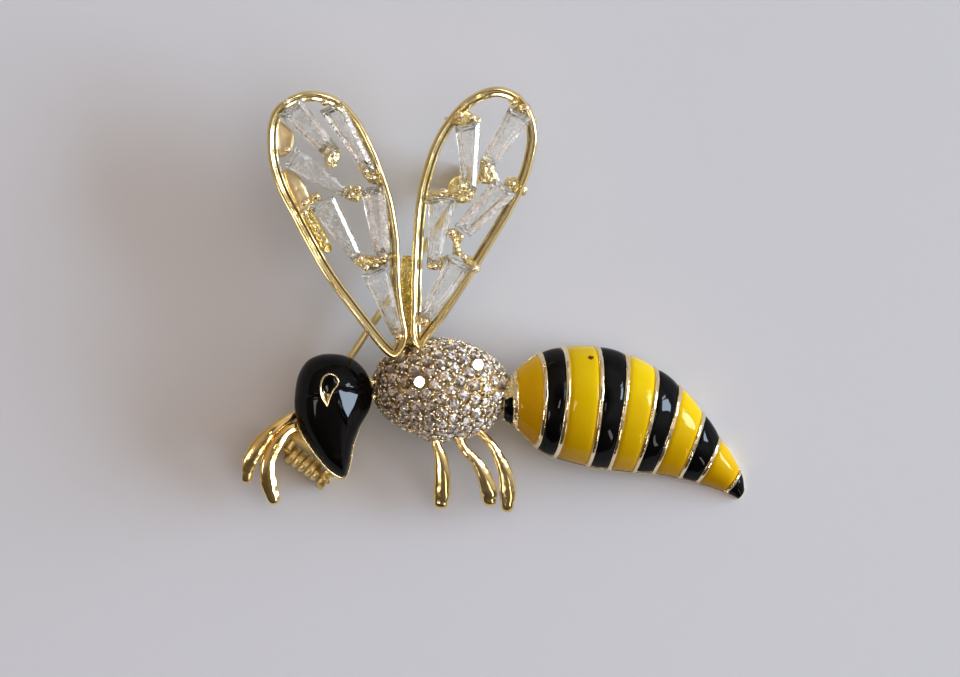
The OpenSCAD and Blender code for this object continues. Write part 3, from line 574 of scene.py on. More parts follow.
# yellow enamel colour pairs: the first is the painted shade of the lower side, the second the painted lit upper side
YELLOW_SHADED, YELLOW_LIT = (0.61, 0.32, 0.001), (0.80, 0.545, 0.002)
YELLOW = yellow_enamel("yellow_enamel", YELLOW_SHADED, YELLOW_LIT)
YELLOW_1 = yellow_enamel("yellow_enamel_neck", (0.62, 0.30, 0.001), (0.82, 0.50, 0.002))


def stone(name, tint, ior, rough=0.0, clear=1.0, ripple=0.0):
    m = Mat(name)
    m.set(IOR=ior, Roughness=rough)
    cloud = m.noise(1300.0, 3.0, 0.6, 0.8)
    m.link(m.ramp(cloud.outputs["Fac"], [(0.38, max(0.0, 2 * clear - 1)), (0.6, 1.0)]).outputs["Color"], m.b.inputs["Transmission Weight"])
    if ripple:
        m.link(m.bump(m.noise(1500.0, 2.0, 0.5).outputs["Fac"], ripple, 0.00004), m.b.inputs["Normal"])
    veil = m.noise(500.0, 2.0, 0.5)
    m.link(m.ramp(veil.outputs["Fac"], [(0.3, tint), (0.75, tuple(min(1.0, c * 1.03) for c in tint))]).outputs["Color"],
           m.b.inputs["Base Color"])
    return m.m


BAGUETTE = stone("baguette_stone", (0.985, 0.97, 0.93), 1.72, clear=0.84, ripple=0.28)
PAVE = stone("pave_stone", (0.98, 0.955, 0.95), 2.2, clear=0.97)
CABOCHON = black_enamel("black_cabochon")


def facet(name, dark, light, clear, ior=2.1):
    """stone facet with a painted reflection: its colour stands in for one part of the room"""
    m = Mat(name)
    m.set(IOR=ior, Roughness=0.03, Transmission_Weight=clear)
    m.link(m.ramp(m.noise(1900.0, 2.0, 0.5).outputs["Fac"], [(0.35, dark), (0.65, light)]).outputs["Color"], m.b.inputs["Base Color"])
    return m.m


# painted reflections: white, warm, dark and grey facet colours stand in for the room seen in the stones
PAVE_REFLECTION_WHITE = facet("pave_painted_reflection_white", (0.94, 0.81, 0.70), (1.0, 0.93, 0.86), 0.12)
PAVE_REFLECTION_WARM = facet("pave_painted_reflection_warm", (0.68, 0.48, 0.32), (0.92, 0.74, 0.56), 0.35)
PAVE_REFLECTION_DARK = facet("pave_painted_reflection_dark", (0.05, 0.035, 0.03), (0.20, 0.15, 0.13), 0.3)
PAVE_REFLECTION_GREY = facet("pave_painted_reflection_grey", (0.40, 0.33, 0.31), (0.62, 0.53, 0.50), 0.5)


# ---------------------------------------------------------------- wings
RIM_PROFILE = [(0.05, 0), (0, 0.08), (-0.01, 0.7), (0, 1.2), (0.025, 1.42), (0.09, 1.55), (0.2, 1.63), (0.32, 1.65),
               (0.42, 1.62), (0.5, 1.54), (0.55, 1.42), (0.56, 1.3), (0.57, 0.95), (0.6, 0.88), (0.68, 0.85),
               (0.85, 0.87), (0.98, 0.84), (1.05, 0.76), (1.08, 0.62), (1.08, 0.08), (1.03, 0)]


def wing_frame(tab, seed):
    edge = even(ccw(outline(tab, 8)), 300)
    nrm = normals2(edge)
    rows = []
    for d, z in RIM_PROFILE:
        rows.append(at(edge + nrm * d, WING_Z + z))
    rows = np.array(rows)
    # hand-finished unevenness
    for i in range(rows.shape[0]):
        for j in range(rows.shape[1]):
            p = rows[i, j]
            rows[i, j, 2] += 0.035 * fbm(p, 2.2, 2, seed) - 0.01 if RIM_PROFILE[i][1] > 0.5 else 0
            k = 0.02 * fbm(p, 1.6, 2, seed + 9)
            rows[i, j, :2] += nrm[j] * k
    return grid(list(rows), close_u=True, close_v=True)


b = Build()
b.add(*wing_frame(LEFT_WING, 3.1))
make("wing_frame_left", b, [GOLD], replaces=["casting"])
b = Build()
b.add(*wing_frame(RIGHT_WING, 8.4))
make("wing_frame_right", b, [GOLD], replaces=["casting"])


def plateau(poly, z0, z1, bevel=0.16, dish=0.0, n=6, rings=5, rough=0.0, seed=0.0, smooth=3):
    """low cast block with rounded edges; dish lowers its middle"""
    p = even(ccw(outline(poly, n)), 48)
    c = p.mean(axis=0)
    rows = [at(inset(p, 0.05), z0), at(p, z0 + 0.06), at(p, (z0 + z1) / 2), at(p, z1 - bevel),
            at(inset(p, bevel * 0.3), z1 - bevel * 0.3), at(inset(p, bevel), z1)]
    q = inset(p, bevel)
    for k in range(1, rings):
        s = 1 - k / rings
        rows.append(at(c + (q - c) * s, z1 - dish * (1 - s * s)))
    v, f = grid(rows, close_v=True, cap0=True, cap1=True)
    v[-1][2] = z1 - dish
    if rough:
        v = wobble(v, 0.38, rough, seed, 3)
    return v, f


b = Build()
for i, poly in enumerate(BARS):
    q = np.array(poly)
    q = q.mean(axis=0) + (q - q.mean(axis=0)) * 0.8
    b.add(*plateau(q, WING_Z + 0.12, WING_Z + 0.86, 0.26, -0.08, rough=0.13, seed=i * 3.7))
for i, (x1, y1, x2, y2, w) in enumerate(TIES):
    if i == 0:
        continue  # this one is the smooth plate "a"
    a, c = np.array([x1, y1]), np.array([x2, y2])
    d = (c - a) / max(np.linalg.norm(c - a), 1e-6)
    m = np.array([-d[1], d[0]])
    r = w * 0.36
    poly = [a - d * r * 0.6 + m * r, a - d * r - m * 0.0, a - d * r * 0.6 - m * r, c + d * r * 0.6 - m * r, c + d * r, c + d * r * 0.6 + m * r]
    b.add(*plateau(poly, WING_Z + 0.1, WING_Z + 0.8, 0.16, -0.05, n=5, rough=0.1, seed=50 + i * 2.9))
make("gallery_bars", b, [CAST_GOLD], replaces=["casting"])

b = Build()
b.add(*plateau(PLATES["a"], WING_Z + 0.2, WING_Z + 0.62, 0.3, 0.12, rings=8))
b.add(*plateau(PLATES["b"], WING_Z + 0.2, WING_Z + 0.95, 0.2, -0.1, rings=8, rough=0.05, seed=6.1))
make("gallery_plates", b, [PLATE_GOLD], replaces=["casting"])


# web between the wings
def web():
    left = np.array([[-9.32, 6.0], [-9.2, 5.0], [-9.15, 3.0], [-9.1, 1.0], [-8.95, -1.0], [-8.8, -2.6], [-8.7, -4.4]])
    right = np.array([[-7.85, 6.0], [-7.9, 5.0], [-7.98, 3.0], [-8.0, 1.0], [-8.0, -1.0], [-8.05, -2.6], [-8.1, -4.4]])
    outer, inner = [], []
    ys = np.linspace(4.6, -4.4, 150)
    for y in ys:
        xl = np.interp(-y, -left[:, 1], left[:, 0])
        xr = np.interp(-y, -right[:, 1], right[:, 0])
        xc, narrow = (xl + xr) / 2, 1 - 0.45 * max(0.0, (y - 3.3) / 1.3) ** 2
        xl, xr = xc + (xl - xc) * narrow, xc + (xr - xc) * narrow
        ro, ri = [], []
        for k in range(27):
            t = k / 26
            x = xl + (xr - xl) * t
            top = WING_Z + 0.95 - 0.35 * math.sin(math.pi * t) - 0.5 * max(0, (y - 3.2) / 1.4)
            p = np.array([x, y, top])
            g = fbm(p, 0.32, 3, 2.2)
            ro.append([x, y, top + 0.27 * g])
            ri.append([x, y, WING_Z + 0.1])
        outer.append(ro)
        inner.append(ri)
    return shell(outer, inner)


b = Build()
b.add(*web())
make("wing_web", b, [WEB_GOLD], replaces=["casting"])


# claws
def claw_mesh(p, i):
    z = GIRDLE_Z + 0.42
    r = 0.37 + 0.05 * math.sin(i * 2.7)
    rows = []
    prof = [(0.17, WING_Z + 0.15), (0.19, WING_Z + 0.5), (0.2, GIRDLE_Z - 0.25), (0.22, GIRDLE_Z + 0.05)]
    for rr, zz in prof:
        rows.append([[p[0] + rr * math.cos(2 * math.pi * j / 16), p[1] + rr * math.sin(2 * math.pi * j / 16), zz] for j in range(16)])
    v, f = grid(rows, close_v=True, cap0=True, cap1=True)
    v2, f2 = ball([p[0], p[1], z], r, 20, 14, 0.86)
    v2 = wobble(v2, 0.5, 0.02, i * 1.3)
    return (v, f), (v2, f2)


b = Build()
for i, p in enumerate(CLAWS):
    for part in claw_mesh(p, i):
        b.add(*part)
make("claws", b, [BEAD_GOLD], replaces=["casting"])


# rails that carry the long sides of the stones
b = Build()
for i, (key, q) in enumerate(BAGUETTES.items()):
    q = np.array(q)
    for a, c in ((q[0], q[3]), (q[1], q[2])):
        mid = q.mean(axis=0)
        d = (c - a) / np.linalg.norm(c - a)
        m = np.array([-d[1], d[0]])
        if np.dot(m, mid - a) < 0:
            m = -m
        n = 26
        rows = []
        for k in range(n + 1):
            t = 0.04 + 0.92 * k / n
            o = a + (c - a) * t
            z0, z1 = WING_Z + 0.12, WING_Z + 0.5
            rows.append([[*(o + m * 0.1), z0], [*(o + m * 0.3), z0 + 0.02], [*(o + m * 0.32), z1 - 0.06],
                         [*(o + m * 0.24), z1 + 0.02], [*(o + m * 0.1), z1 + 0.04], [*(o + m * 0.04), z1 - 0.04], [*(o + m * 0.05), z0 + 0.06]])
        v, f = grid(rows, close_v=True, cap0=True, cap1=True)
        b.add(wobble(v, 0.7, 0.025, i * 5.1), f)
make("stone_rails", b, [CAST_GOLD], replaces=["casting"])


# tube soldered under the left wing
def back_tube():
    d = TUBE_B - TUBE_A
    L = np.linalg.norm(d)
    d3 = np.array([d[0] / L, d[1] / L, 0])
    s3 = np.array([-d3[1], d3[0], 0])
    u3 = np.array([0, 0, 1.0])
    c0 = np.array([TUBE_A[0], TUBE_A[1], WING_Z - 0.25])
    prof = [(0.0, 0.01), (0.0, 0.4), (0.04, 0.58), (0.15, 0.64)] + [(0.3 + (L - 0.6) * k / 40, 0.65) for k in range(41)] \
        + [(L - 0.12, 0.64), (L - 0.02, 0.58), (L, 0.5), (L - 0.02, 0.4), (L - 0.2, 0.37), (L - 1.2, 0.36), (L - 2.6, 0.35), (L - 2.9, 0.2), (L - 3.0, 0.01)]
    rows = []
    for x, r in prof:
        # the lower end is cut slanting, so its bore shows from above
        slant = 1.5 * min(1.0, max(0.0, (x - (L - 2.2)) / 1.9)) if r > 0.36 else 0.0
        rows.append([c0 + d3 * (x - slant * (r + r * math.sin(2 * math.pi * k / 28)) / 2 * 1.2)
                     + (s3 * math.cos(2 * math.pi * k / 28) + u3 * math.sin(2 * math.pi * k / 28)) * r for k in range(28)])
    v, f = grid(rows, close_v=True, cap0=True, cap1=True)
    return wobble(v, 0.4, 0.05, 12.0, 3), f


b = Build()
b.add(*back_tube())
make("back_tube", b, [CAST_GOLD], replaces=["casting"])


# baguette stones
def step_cut(q, top=0.61):
    """closed tapered step-cut stone: table, three crown steps, girdle, three pavilion steps, keel"""
    q = ccw(np.array(q, float))
    w = min(np.linalg.norm(q[2] - q[3]), np.linalg.norm(q[0] - q[1]))
    g = GIRDLE_Z
    rows = [(0.45 * w, g - 0.88), (0.34 * w, g - 0.74), (0.18 * w, g - 0.42), (0.03, g - 0.03), (0.0, g), (0.0, g + 0.12),
            (0.08, g + 0.33), (0.15, g + 0.43), (min(0.46, 0.42 * w), g + top)]
    rings = []
    for d, z in rows:
        rings.append(at(inset(q, d), z))
    v = np.vstack(rings)
    n = len(rings)
    f = []
    for i in range(n - 1):
        for j in range(4):
            k = (j + 1) % 4
            f.append((i * 4 + j, i * 4 + k, (i + 1) * 4 + k, (i + 1) * 4 + j))
    f.append((3, 2, 1, 0))
    f.append(tuple((n - 1) * 4 + j for j in range(4)))
    return v, f


for key, q in BAGUETTES.items():
    b = Build()
    b.add(*step_cut(q, 0.52 if key in ("l5", "l6") else 0.61))
    make("stone_" + key, b, [BAGUETTE], angle=0, replaces=["baguette_" + key])

# ---------------------------------------------------------------- thorax
T_OUT = even(ccw(outline(THORAX_OUT, 8)), 120)


def t_radius(phi):
    """point of the thorax outline at angle phi from its middle"""
    ang = np.arctan2(T_OUT[:, 1] - THORAX[1], T_OUT[:, 0] - THORAX[0])
    r = np.hypot(T_OUT[:, 0] - THORAX[0], T_OUT[:, 1] - THORAX[1])
    o = np.argsort(ang)
    return np.interp(phi, ang[o], r[o], period=2 * math.pi)


T_TOP = 5.6


def t_point(phi, t, d=0.0):
    """point of the dome at angle phi and height fraction t, moved in by d"""
    c = math.sqrt(max(0.0, 1 - t * t))
    r = (t_radius(phi) - d) * c
    return np.array([THORAX[0] + r * math.cos(phi), THORAX[1] + r * math.sin(phi), RIM_Z + (T_TOP - d) * t])


def t_surface(x, y, d=0.0):
    """height and normal of the dome over a point of the plan"""
    dx, dy = x - THORAX[0], y - THORAX[1]
    phi = math.atan2(dy, dx)
    r = (t_radius(phi) - d)
    s = min(0.9999, math.hypot(dx, dy) / r)
    z = RIM_Z + (T_TOP - d) * math.sqrt(1 - s * s)
    return z


def t_normal(x, y):
    e = 0.05
    zx = (t_surface(x + e, y) - t_surface(x - e, y)) / (2 * e)
    zy = (t_surface(x, y + e) - t_surface(x, y - e)) / (2 * e)
    n = np.array([-zx, -zy, 1.0])
    return n / np.linalg.norm(n)


b = Build()
outer, inner = [], []
M = 160
for k in range(40):
    t = math.sin(math.pi / 2 * (k / 39) * 0.995)
    outer.append([t_point(2 * math.pi * j / M, t, 0.3) for j in range(M)])
outer = [[np.array([p[0], p[1], p[2]]) + 0.05 * fbm(p, 0.5, 3, 5.5) * np.array([0.4, 0.4, 1.0]) for p in r] for r in outer]
base = [[t_point(2 * math.pi * j / M, 0, 0.0) * [1, 1, 0] + [0, 0, RIM_Z + z] for j in range(M)] for z in (0.0, 0.3)]
v, f = grid([base[0], base[1]] + outer, close_v=True, cap1=True)
b.add(v, f)
for k in range(20):
    t = math.sin(math.pi / 2 * (k / 19) * 0.99)
    inner.append([t_point(2 * math.pi * j / M, t, 1.1) for j in range(M)])
v, f = grid(inner, close_v=True, cap1=True)
b.add(v, [tuple(reversed(q)) for q in f])
# rim that joins the inner and outer domes
v, f = grid([base[0], inner[0]], close_v=True)
b.add(v, f)
# the dome carries the painted shade of the gaps between the stones
make("thorax_dome", b, [GAP_SHADE_GOLD], replaces=["casting"])

# pave stones spread evenly by relaxation over the dome
target = 1.40
seeds = []
while len(seeds) < 118:
    phi, s = RNG.uniform(-math.pi, math.pi), math.sqrt(RNG.uniform(0, 1))
    t = 1 - s
    seeds.append(t_point(phi, RNG.uniform(0.06, 0.98)))
P = np.array(seeds)


def onto(p):
    """nearest point of the dome along the ray from its middle"""
    out = np.empty_like(p)
    for i, q in enumerate(p):
        phi = math.atan2(q[1] - THORAX[1], q[0] - THORAX[0])
        r = math.hypot(q[0] - THORAX[0], q[1] - THORAX[1])
        h = max(q[2] - RIM_Z, 0.35)
        a = math.atan2(h / T_TOP, r / t_radius(phi))
        t = math.sin(min(max(a, 0.13), math.pi / 2))
        out[i] = t_point(phi, t)
    return out


for it in range(160):
    d = P[:, None, :] - P[None, :, :]
    L = np.linalg.norm(d, axis=2) + np.eye(len(P)) * 99
    push = np.where(L[..., None] < target * 1.25, d / L[..., None] * (target * 1.25 - L)[..., None], 0).sum(axis=1)
    P = onto(P + push * 0.18)
    if it > 60 and it % 12 == 0:
        # drops the stone that is squeezed most
        near = np.sort(L, axis=1)[:, 0]
        k = int(np.argmin(near))
        if near[k] < 1.18:
            P = np.delete(P, k, axis=0)
PAVE_AT = P


def brilliant(r):
    """closed round brilliant: table, star and main crown facets, girdle, pavilion; the girdle at z = 0"""
    pts = []
    n = 8
    tb = [(0.56 * r * math.cos(2 * math.pi * (k + 0.5) / n), 0.56 * r * math.sin(2 * math.pi * (k + 0.5) / n), 0.30 * r) for k in range(n)]
    md = [(0.80 * r * math.cos(2 * math.pi * k / n), 0.80 * r * math.sin(2 * math.pi * k / n), 0.18 * r) for k in range(n)]
    g0 = [(r * math.cos(math.pi * k / n), r * math.sin(math.pi * k / n), 0.035 * r) for k in range(2 * n)]
    g1 = [(r * math.cos(math.pi * k / n), r * math.sin(math.pi * k / n), -0.035 * r) for k in range(2 * n)]
    lo = [(0.42 * r * math.cos(2 * math.pi * (k + 0.5) / n), 0.42 * r * math.sin(2 * math.pi * (k + 0.5) / n), -0.52 * r) for k in range(n)]
    pts = tb + md + g0 + g1 + lo + [(0, 0, -0.86 * r)]
    T, D, A, B, L, K = 0, n, 2 * n, 4 * n, 6 * n, 7 * n
    f = [tuple(range(n))]
    for k in range(n):
        j = (k + 1) % n
        f.append((T + k, D + j, T + j))                       # star
        f.append((T + (k - 1) % n, D + k, T + k))
    f = [tuple(range(n))]
    for k in range(n):
        p = (k - 1) % n
        f.append((T + p, D + k, T + k))                       # star facets
        f.append((D + k, A + 2 * k, A + (2 * k + 1)))         # upper girdle
        f.append((D + k, A + (2 * k - 1) % (2 * n), A + 2 * k))
        f.append((T + k, D + k, A + 2 * k + 1, D + (k + 1) % n))  # main
        f.append((B + 2 * k, L + k, B + 2 * k + 1))
        f.append((B + 2 * k, B + (2 * k - 1) % (2 * n), L + p, L + k))
        f.append((K, L + k, L + p))
        f.append((B + 2 * k + 1, L + k, B + (2 * k + 2) % (2 * n)))
    f2 = []
    for q in f:
        f2.append(q)
    # table split where the lower facets show through it; pavilion as simple triangles
    pts = pts + [(0.05 * r, -0.04 * r, 0.305 * r)]
    C = len(pts) - 1
    f = [(T + k, T + (k + 1) % n, C) for k in range(n)]
    for k in range(n):
        p = (k - 1) % n
        f.append((T + p, D + k, T + k))
        f.append((D + k, A + 2 * k, A + (2 * k + 1)))
        f.append((D + k, A + (2 * k - 1) % (2 * n), A + 2 * k))
        f.append((T + k, D + k, A + 2 * k + 1, D + (k + 1) % n))
        f.append((L + k, B + 2 * k, B + 2 * k + 1))
        f.append((L + k, B + 2 * k + 1, B + (2 * k + 2) % (2 * n)))
        f.append((B + 2 * k, L + k, L + p))
        f.append((K, L + k, L + p))
    for k in range(2 * n):
        j = (k + 1) % (2 * n)
        f.append((A + k, B + k, B + j, A + j))
    return np.array(pts), f


def facing(n, spin=0.0):
    """axes of a stone whose table faces n"""
    n = n / np.linalg.norm(n)
    a = np.cross([0, 1.0, 0.1], n)
    a /= np.linalg.norm(a)
    c = np.cross(n, a)
    return np.column_stack([a * math.cos(spin) + c * math.sin(spin), -a * math.sin(spin) + c * math.cos(spin), n])


FLASH = [(-7.25, -8.05), (-1.6, -6.4)]
LIGHT_DIR = np.array([0.86, 0.10, 0.50])
LIGHT_DIR = LIGHT_DIR / np.linalg.norm(LIGHT_DIR)
HALF = LIGHT_DIR + np.array([0, 0, 1.0])
HALF = HALF / np.linalg.norm(HALF)
flash_ids = [int(np.argmin(np.hypot(PAVE_AT[:, 0] - x, PAVE_AT[:, 1] - y))) for x, y in FLASH]
bv, bf = brilliant(0.63)
rows = [[[r * math.cos(math.pi * k / 12), r * math.sin(math.pi * k / 12), z] for k in range(24)]
        for r, z in ((0.1, -0.5), (0.42, -0.32), (0.645, -0.03), (0.65, 0.02), (0.62, 0.08))]
dv, df = grid(rows, close_v=True)
df = df + [tuple(range(24))[::-1], tuple(96 + k for k in range(24))]
stones = Build()
seats = Build()
for i, p in enumerate(PAVE_AT):
    n = t_normal(p[0], p[1]) if p[2] > RIM_Z + 0.9 else None
    if n is None:
        e = p - np.array([THORAX[0], THORAX[1], RIM_Z])
        n = np.array([e[0] / 46.0, e[1] / 25.5, e[2] / 37.0])
        n = n / np.linalg.norm(n)
    tilt = n + RNG.normal(0, 0.15, 3)
    for k in range(40):
        if np.dot(tilt / np.linalg.norm(tilt), HALF) < math.cos(math.radians(17)):
            break
        tilt = n + RNG.normal(0, 0.12, 3) + (n - HALF) * 0.06 * k
    if i in flash_ids:
        tilt = HALF
    R = facing(tilt, RNG.uniform(0, math.pi / 4))
    scale = RNG.uniform(0.93, 1.03)
    if i in flash_ids:
        stones.add((R @ (dv * 0.9).T).T + p + n * 0.17, df)
    else:
        stones.add((R @ (bv * scale).T).T + p + n * (-0.04), bf)
        # a random choice of crown facets gets the painted reflection colours
        tone = RNG.choice(5, size=40, p=[0.24, 0.36, 0.20, 0.07, 0.13])
        stones.m[-len(bf):-len(bf) + 40] = [int(c) for c in tone]
    cone = [[[rr * math.cos(2 * math.pi * k / 12), rr * math.sin(2 * math.pi * k / 12), zz] for k in range(12)]
            for rr, zz in ((0.56, -0.50), (0.68, -0.12), (0.67, -0.08), (0.64, -0.09), (0.50, -0.28), (0.3, -0.48), (0.08, -0.64))]
    cv, cf = grid(cone, close_v=True, cap0=True, cap1=True)
    seats.add((R @ (np.array(cv) * scale).T).T + p + n * (-0.04), cf)
make("pave_stones", stones, [PAVE, PAVE_REFLECTION_WHITE, PAVE_REFLECTION_WARM, PAVE_REFLECTION_DARK, PAVE_REFLECTION_GREY], angle=0)
make("pave_seats", seats, [FOIL], angle=20, replaces=["casting"])

# grains raised between the stones
gr = Build()
count = 0
for i in range(len(PAVE_AT)):
    d = np.linalg.norm(PAVE_AT - PAVE_AT[i], axis=1)
    nb = [j for j in np.argsort(d)[1:7] if d[j] < 1.95]
    for a_ in range(len(nb)):
        for b_ in range(a_ + 1, len(nb)):
            j, k = nb[a_], nb[b_]
            if not (i < j and i < k):
                continue
            if np.linalg.norm(PAVE_AT[j] - PAVE_AT[k]) > 1.95:
                continue
            c = (PAVE_AT[i] + PAVE_AT[j] + PAVE_AT[k]) / 3
            n = t_normal(c[0], c[1]) if c[2] > RIM_Z + 0.9 else (c - np.array([*THORAX, RIM_Z])) / np.linalg.norm(c - np.array([*THORAX, RIM_Z]))
            for s in range(2 if count % 3 else 3):
                off = RNG.normal(0, 0.1, 3)
                off -= n * np.dot(off, n)
                q = c + n * RNG.uniform(0.02, 0.14) + off * (1 + s)
                r = RNG.uniform(0.1, 0.18)
                if min(np.linalg.norm(q - PAVE_AT[m]) for m in flash_ids) < 0.84:
                    continue
                gr.add(*ball(q, r, 10, 7, 1.0))
                count += 1
# grains at the bottom edge
for k in range(88):
    phi = 2 * math.pi * k / 88
    p = t_point(phi, 0.035 + 0.03 * math.sin(k * 2.1))
    gr.add(*ball(p, 0.17 + 0.04 * math.sin(k * 5.0), 10, 7, 1.0))
make("pave_grains", gr, [BEAD_GOLD], replaces=["casting"])

# ---------------------------------------------------------------- head
H_OUT = even(ccw(outline(HEAD, 10)), 200)
HEAD_A = np.array([-16.1, -9.0])
HEAD_B = np.array([-15.1, -15.2])


def ridge_t(p):
    v = HEAD_B - HEAD_A
    return float(np.clip(np.dot(p - HEAD_A, v) / np.dot(v, v), 0, 1))


def smooth01(x):
    x = min(max(x, 0.0), 1.0)
    return x * x * (3 - 2 * x)


CREASE_X = [-19.9, -18.6, -17.4, -16.4, -15.6, -15.0, -14.3, -13.4, -12.0]
CREASE_Y = [-9.8, -9.6, -9.45, -9.1, -8.75, -8.75, -9.1, -9.38, -9.6]


def head_point(p, s):
    t = ridge_t(p)
    c = HEAD_A + (HEAD_B - HEAD_A) * t
    q = c + (p - c) * s
    h = HEAD_H + (CHIN_H - HEAD_H) * t - 0.85
    z = CUP_TOP + 0.55 + h * max(0.0, 1 - s ** 2.1) ** 0.62
    # brow step: the skull stands over the beak
    y = q[1] - float(np.interp(q[0], CREASE_X, CREASE_Y))
    keep = 1 - s ** 8
    z += 0.2 * smooth01(y / 0.5 + 0.3) * keep - 0.09 * math.exp(-(y / 0.17) ** 2) * (1 - s ** 4)
    # long ridge right of the middle of the beak, with a shallow valley beside it
    if y < 0:
        u = min(1.0, -y / 1.5)
        xr = -14.55 + 0.06 * y
        z += 0.07 * u * math.exp(-((q[0] - xr) / 0.5) ** 2) * (1 - s ** 4)
        z -= 0.06 * u * math.exp(-((q[0] - xr - 0.85) / 0.5) ** 2) * (1 - s ** 4)
    return [q[0], q[1], z]


CHEEK = ccw(np.array([[-15.32, -9.0], [-14.3, -8.9], [-13.45, -9.2], [-13.75, -10.4], [-14.45, -11.75], [-14.95, -10.7]]))
CHEEK_MID = np.array([-14.3, -9.95])


def cheek(q, z, z_mid):
    """cast plane of the cheek, which catches the window"""
    e = np.roll(CHEEK, -1, axis=0) - CHEEK
    nn = np.stack([-e[:, 1], e[:, 0]], 1) / np.linalg.norm(e, axis=1)[:, None]
    d = float(np.min(np.sum((np.asarray(q) - CHEEK) * nn, axis=1)))
    w = smooth01((d + 0.42) / 0.46)
    plane = z_mid - HALF[0] / HALF[2] * (q[0] - CHEEK_MID[0]) - HALF[1] / HALF[2] * (q[1] - CHEEK_MID[1])
    return z + (plane - z) * w


base = inset(H_OUT, 0.03)
rows = [at(inset(H_OUT, 0.16), CUP_TOP + 0.03), at(inset(H_OUT, 0.06), CUP_TOP + 0.06), at(base, CUP_TOP + 0.25)]
for s in np.concatenate([np.sin(np.linspace(math.pi / 2, 0.02, 56))]):
    rows.append([head_point(p, s) for p in base])
flat_rows = np.array(rows[3:])
z_mid = float(flat_rows[np.unravel_index(np.argmin(np.hypot(flat_rows[..., 0] - CHEEK_MID[0], flat_rows[..., 1] - CHEEK_MID[1])), flat_rows.shape[:2])][2])
rows = rows[:3] + [[[p[0], p[1], cheek(p[:2], p[2], z_mid)] for p in r] for r in rows[3:]]
v, f = grid(rows, close_v=True, cap0=True, cap1=True)
b = Build()
b.add(v, f)
make("head_dome", b, [HEAD_BLACK], replaces=["head_enamel"])

# gold cup under the head
b = Build()
lip = -0.1
cup = [(0.5, RIM_Z - 0.4), (0.2, RIM_Z - 0.38), (0.02, RIM_Z - 0.28), (-lip, RIM_Z - 0.1), (-lip, CUP_TOP - 0.1), (-lip + 0.02, CUP_TOP - 0.02), (0.4, CUP_TOP), (0.8, CUP_TOP)]
rows = [at(inset(H_OUT, d), z) for d, z in cup]
v, f = grid(rows, close_v=True, cap0=True, cap1=True)
b.add(wobble(v, 1.4, 0.015, 31.0), f)
# polished lip that shows along the lower edges
LIP = [k for k in range(len(H_OUT)) if H_OUT[k][1] < -12.0 and not (H_OUT[k][0] > -13.4 and H_OUT[k][1] > -12.6)]
o = H_OUT - inset(H_OUT, 0.1)
o = o / np.linalg.norm(o, axis=1)[:, None]
path = np.array([[*(H_OUT[k] + o[k] * 0.03), CUP_TOP + 0.16] for k in sorted(LIP)])
size = [0.13 * min(1.0, 0.25 + 6.0 * min(k, len(path) - 1 - k) / len(path)) for k in range(len(path))]
b.add(*tube(path, size, 12))
make("head_cup", b, [GOLD], replaces=["casting"])

b = Build()
b.add(*plateau([[-13.2, -7.7], [-11.8, -7.6], [-10.6, -7.8], [-10.6, -9.9], [-11.8, -10.0], [-13.2, -9.9]], RIM_Z - 0.05, CUP_TOP + 0.25, 0.2, 0, rough=0.05))
make("neck_joint", b, [CAST_GOLD], replaces=["casting"])

# eye bezel: teardrop ring of polished gold with a solid hollowed tip
E_OUT = even(ccw(outline(EYE, 8)), 120)
P_OUT = even(ccw(outline(np.array(PUPIL).mean(axis=0) + (np.array(PUPIL) - np.array(PUPIL).mean(axis=0)) * 1.13, 8)), 96)
ez = CUP_TOP + HEAD_H
b = Build()


def eye_z(p):
    """top of the bezel: a set height that falls off away from y = -8.3"""
    return head_point(np.array(p), 0.0)[2] if False else ez + 0.10 - 0.02 * (p[1] + 8.3) ** 2


rows = []
for d, dz in [(0.0, -1.2), (0.0, -0.25), (0.015, -0.1), (0.05, -0.02), (0.1, 0.0), (0.15, -0.01), (0.2, -0.06), (0.23, -0.16)]:
    q = inset(E_OUT, d)
    rows.append([[x, y, eye_z((x, y)) + dz] for x, y in q])
c = np.array([-16.42, -9.2])
q0 = inset(E_OUT, 0.22)
for k in range(1, 9):
    s = 1 - k / 9
    q = c + (q0 - c) * s
    rows.append([[x, y, eye_z((x, y)) - 0.18 - 0.12 * (1 - s * s) + 0.05 * math.cos(6.0 * (x + 16.4))] for x, y in q])
v, f = grid(rows, close_v=True, cap0=True, cap1=True)
b.add(v, f)
make("eye_bezel", b, [GOLD], replaces=["casting"])

b = Build()
rows = []
for d, z in [(0.0, -0.35), (0.0, -0.02), (0.04, 0.03), (0.12, 0.05), (0.22, 0.06), (0.3, 0.065)]:
    q = inset(P_OUT, d)
    rows.append([[x, y, eye_z((x, y)) + z - 0.12] for x, y in q])
v, f = grid(rows, close_v=True, cap0=True, cap1=True)
b.add(v, f)
make("eye_stone", b, [CABOCHON], replaces=["eye_cabochon"])


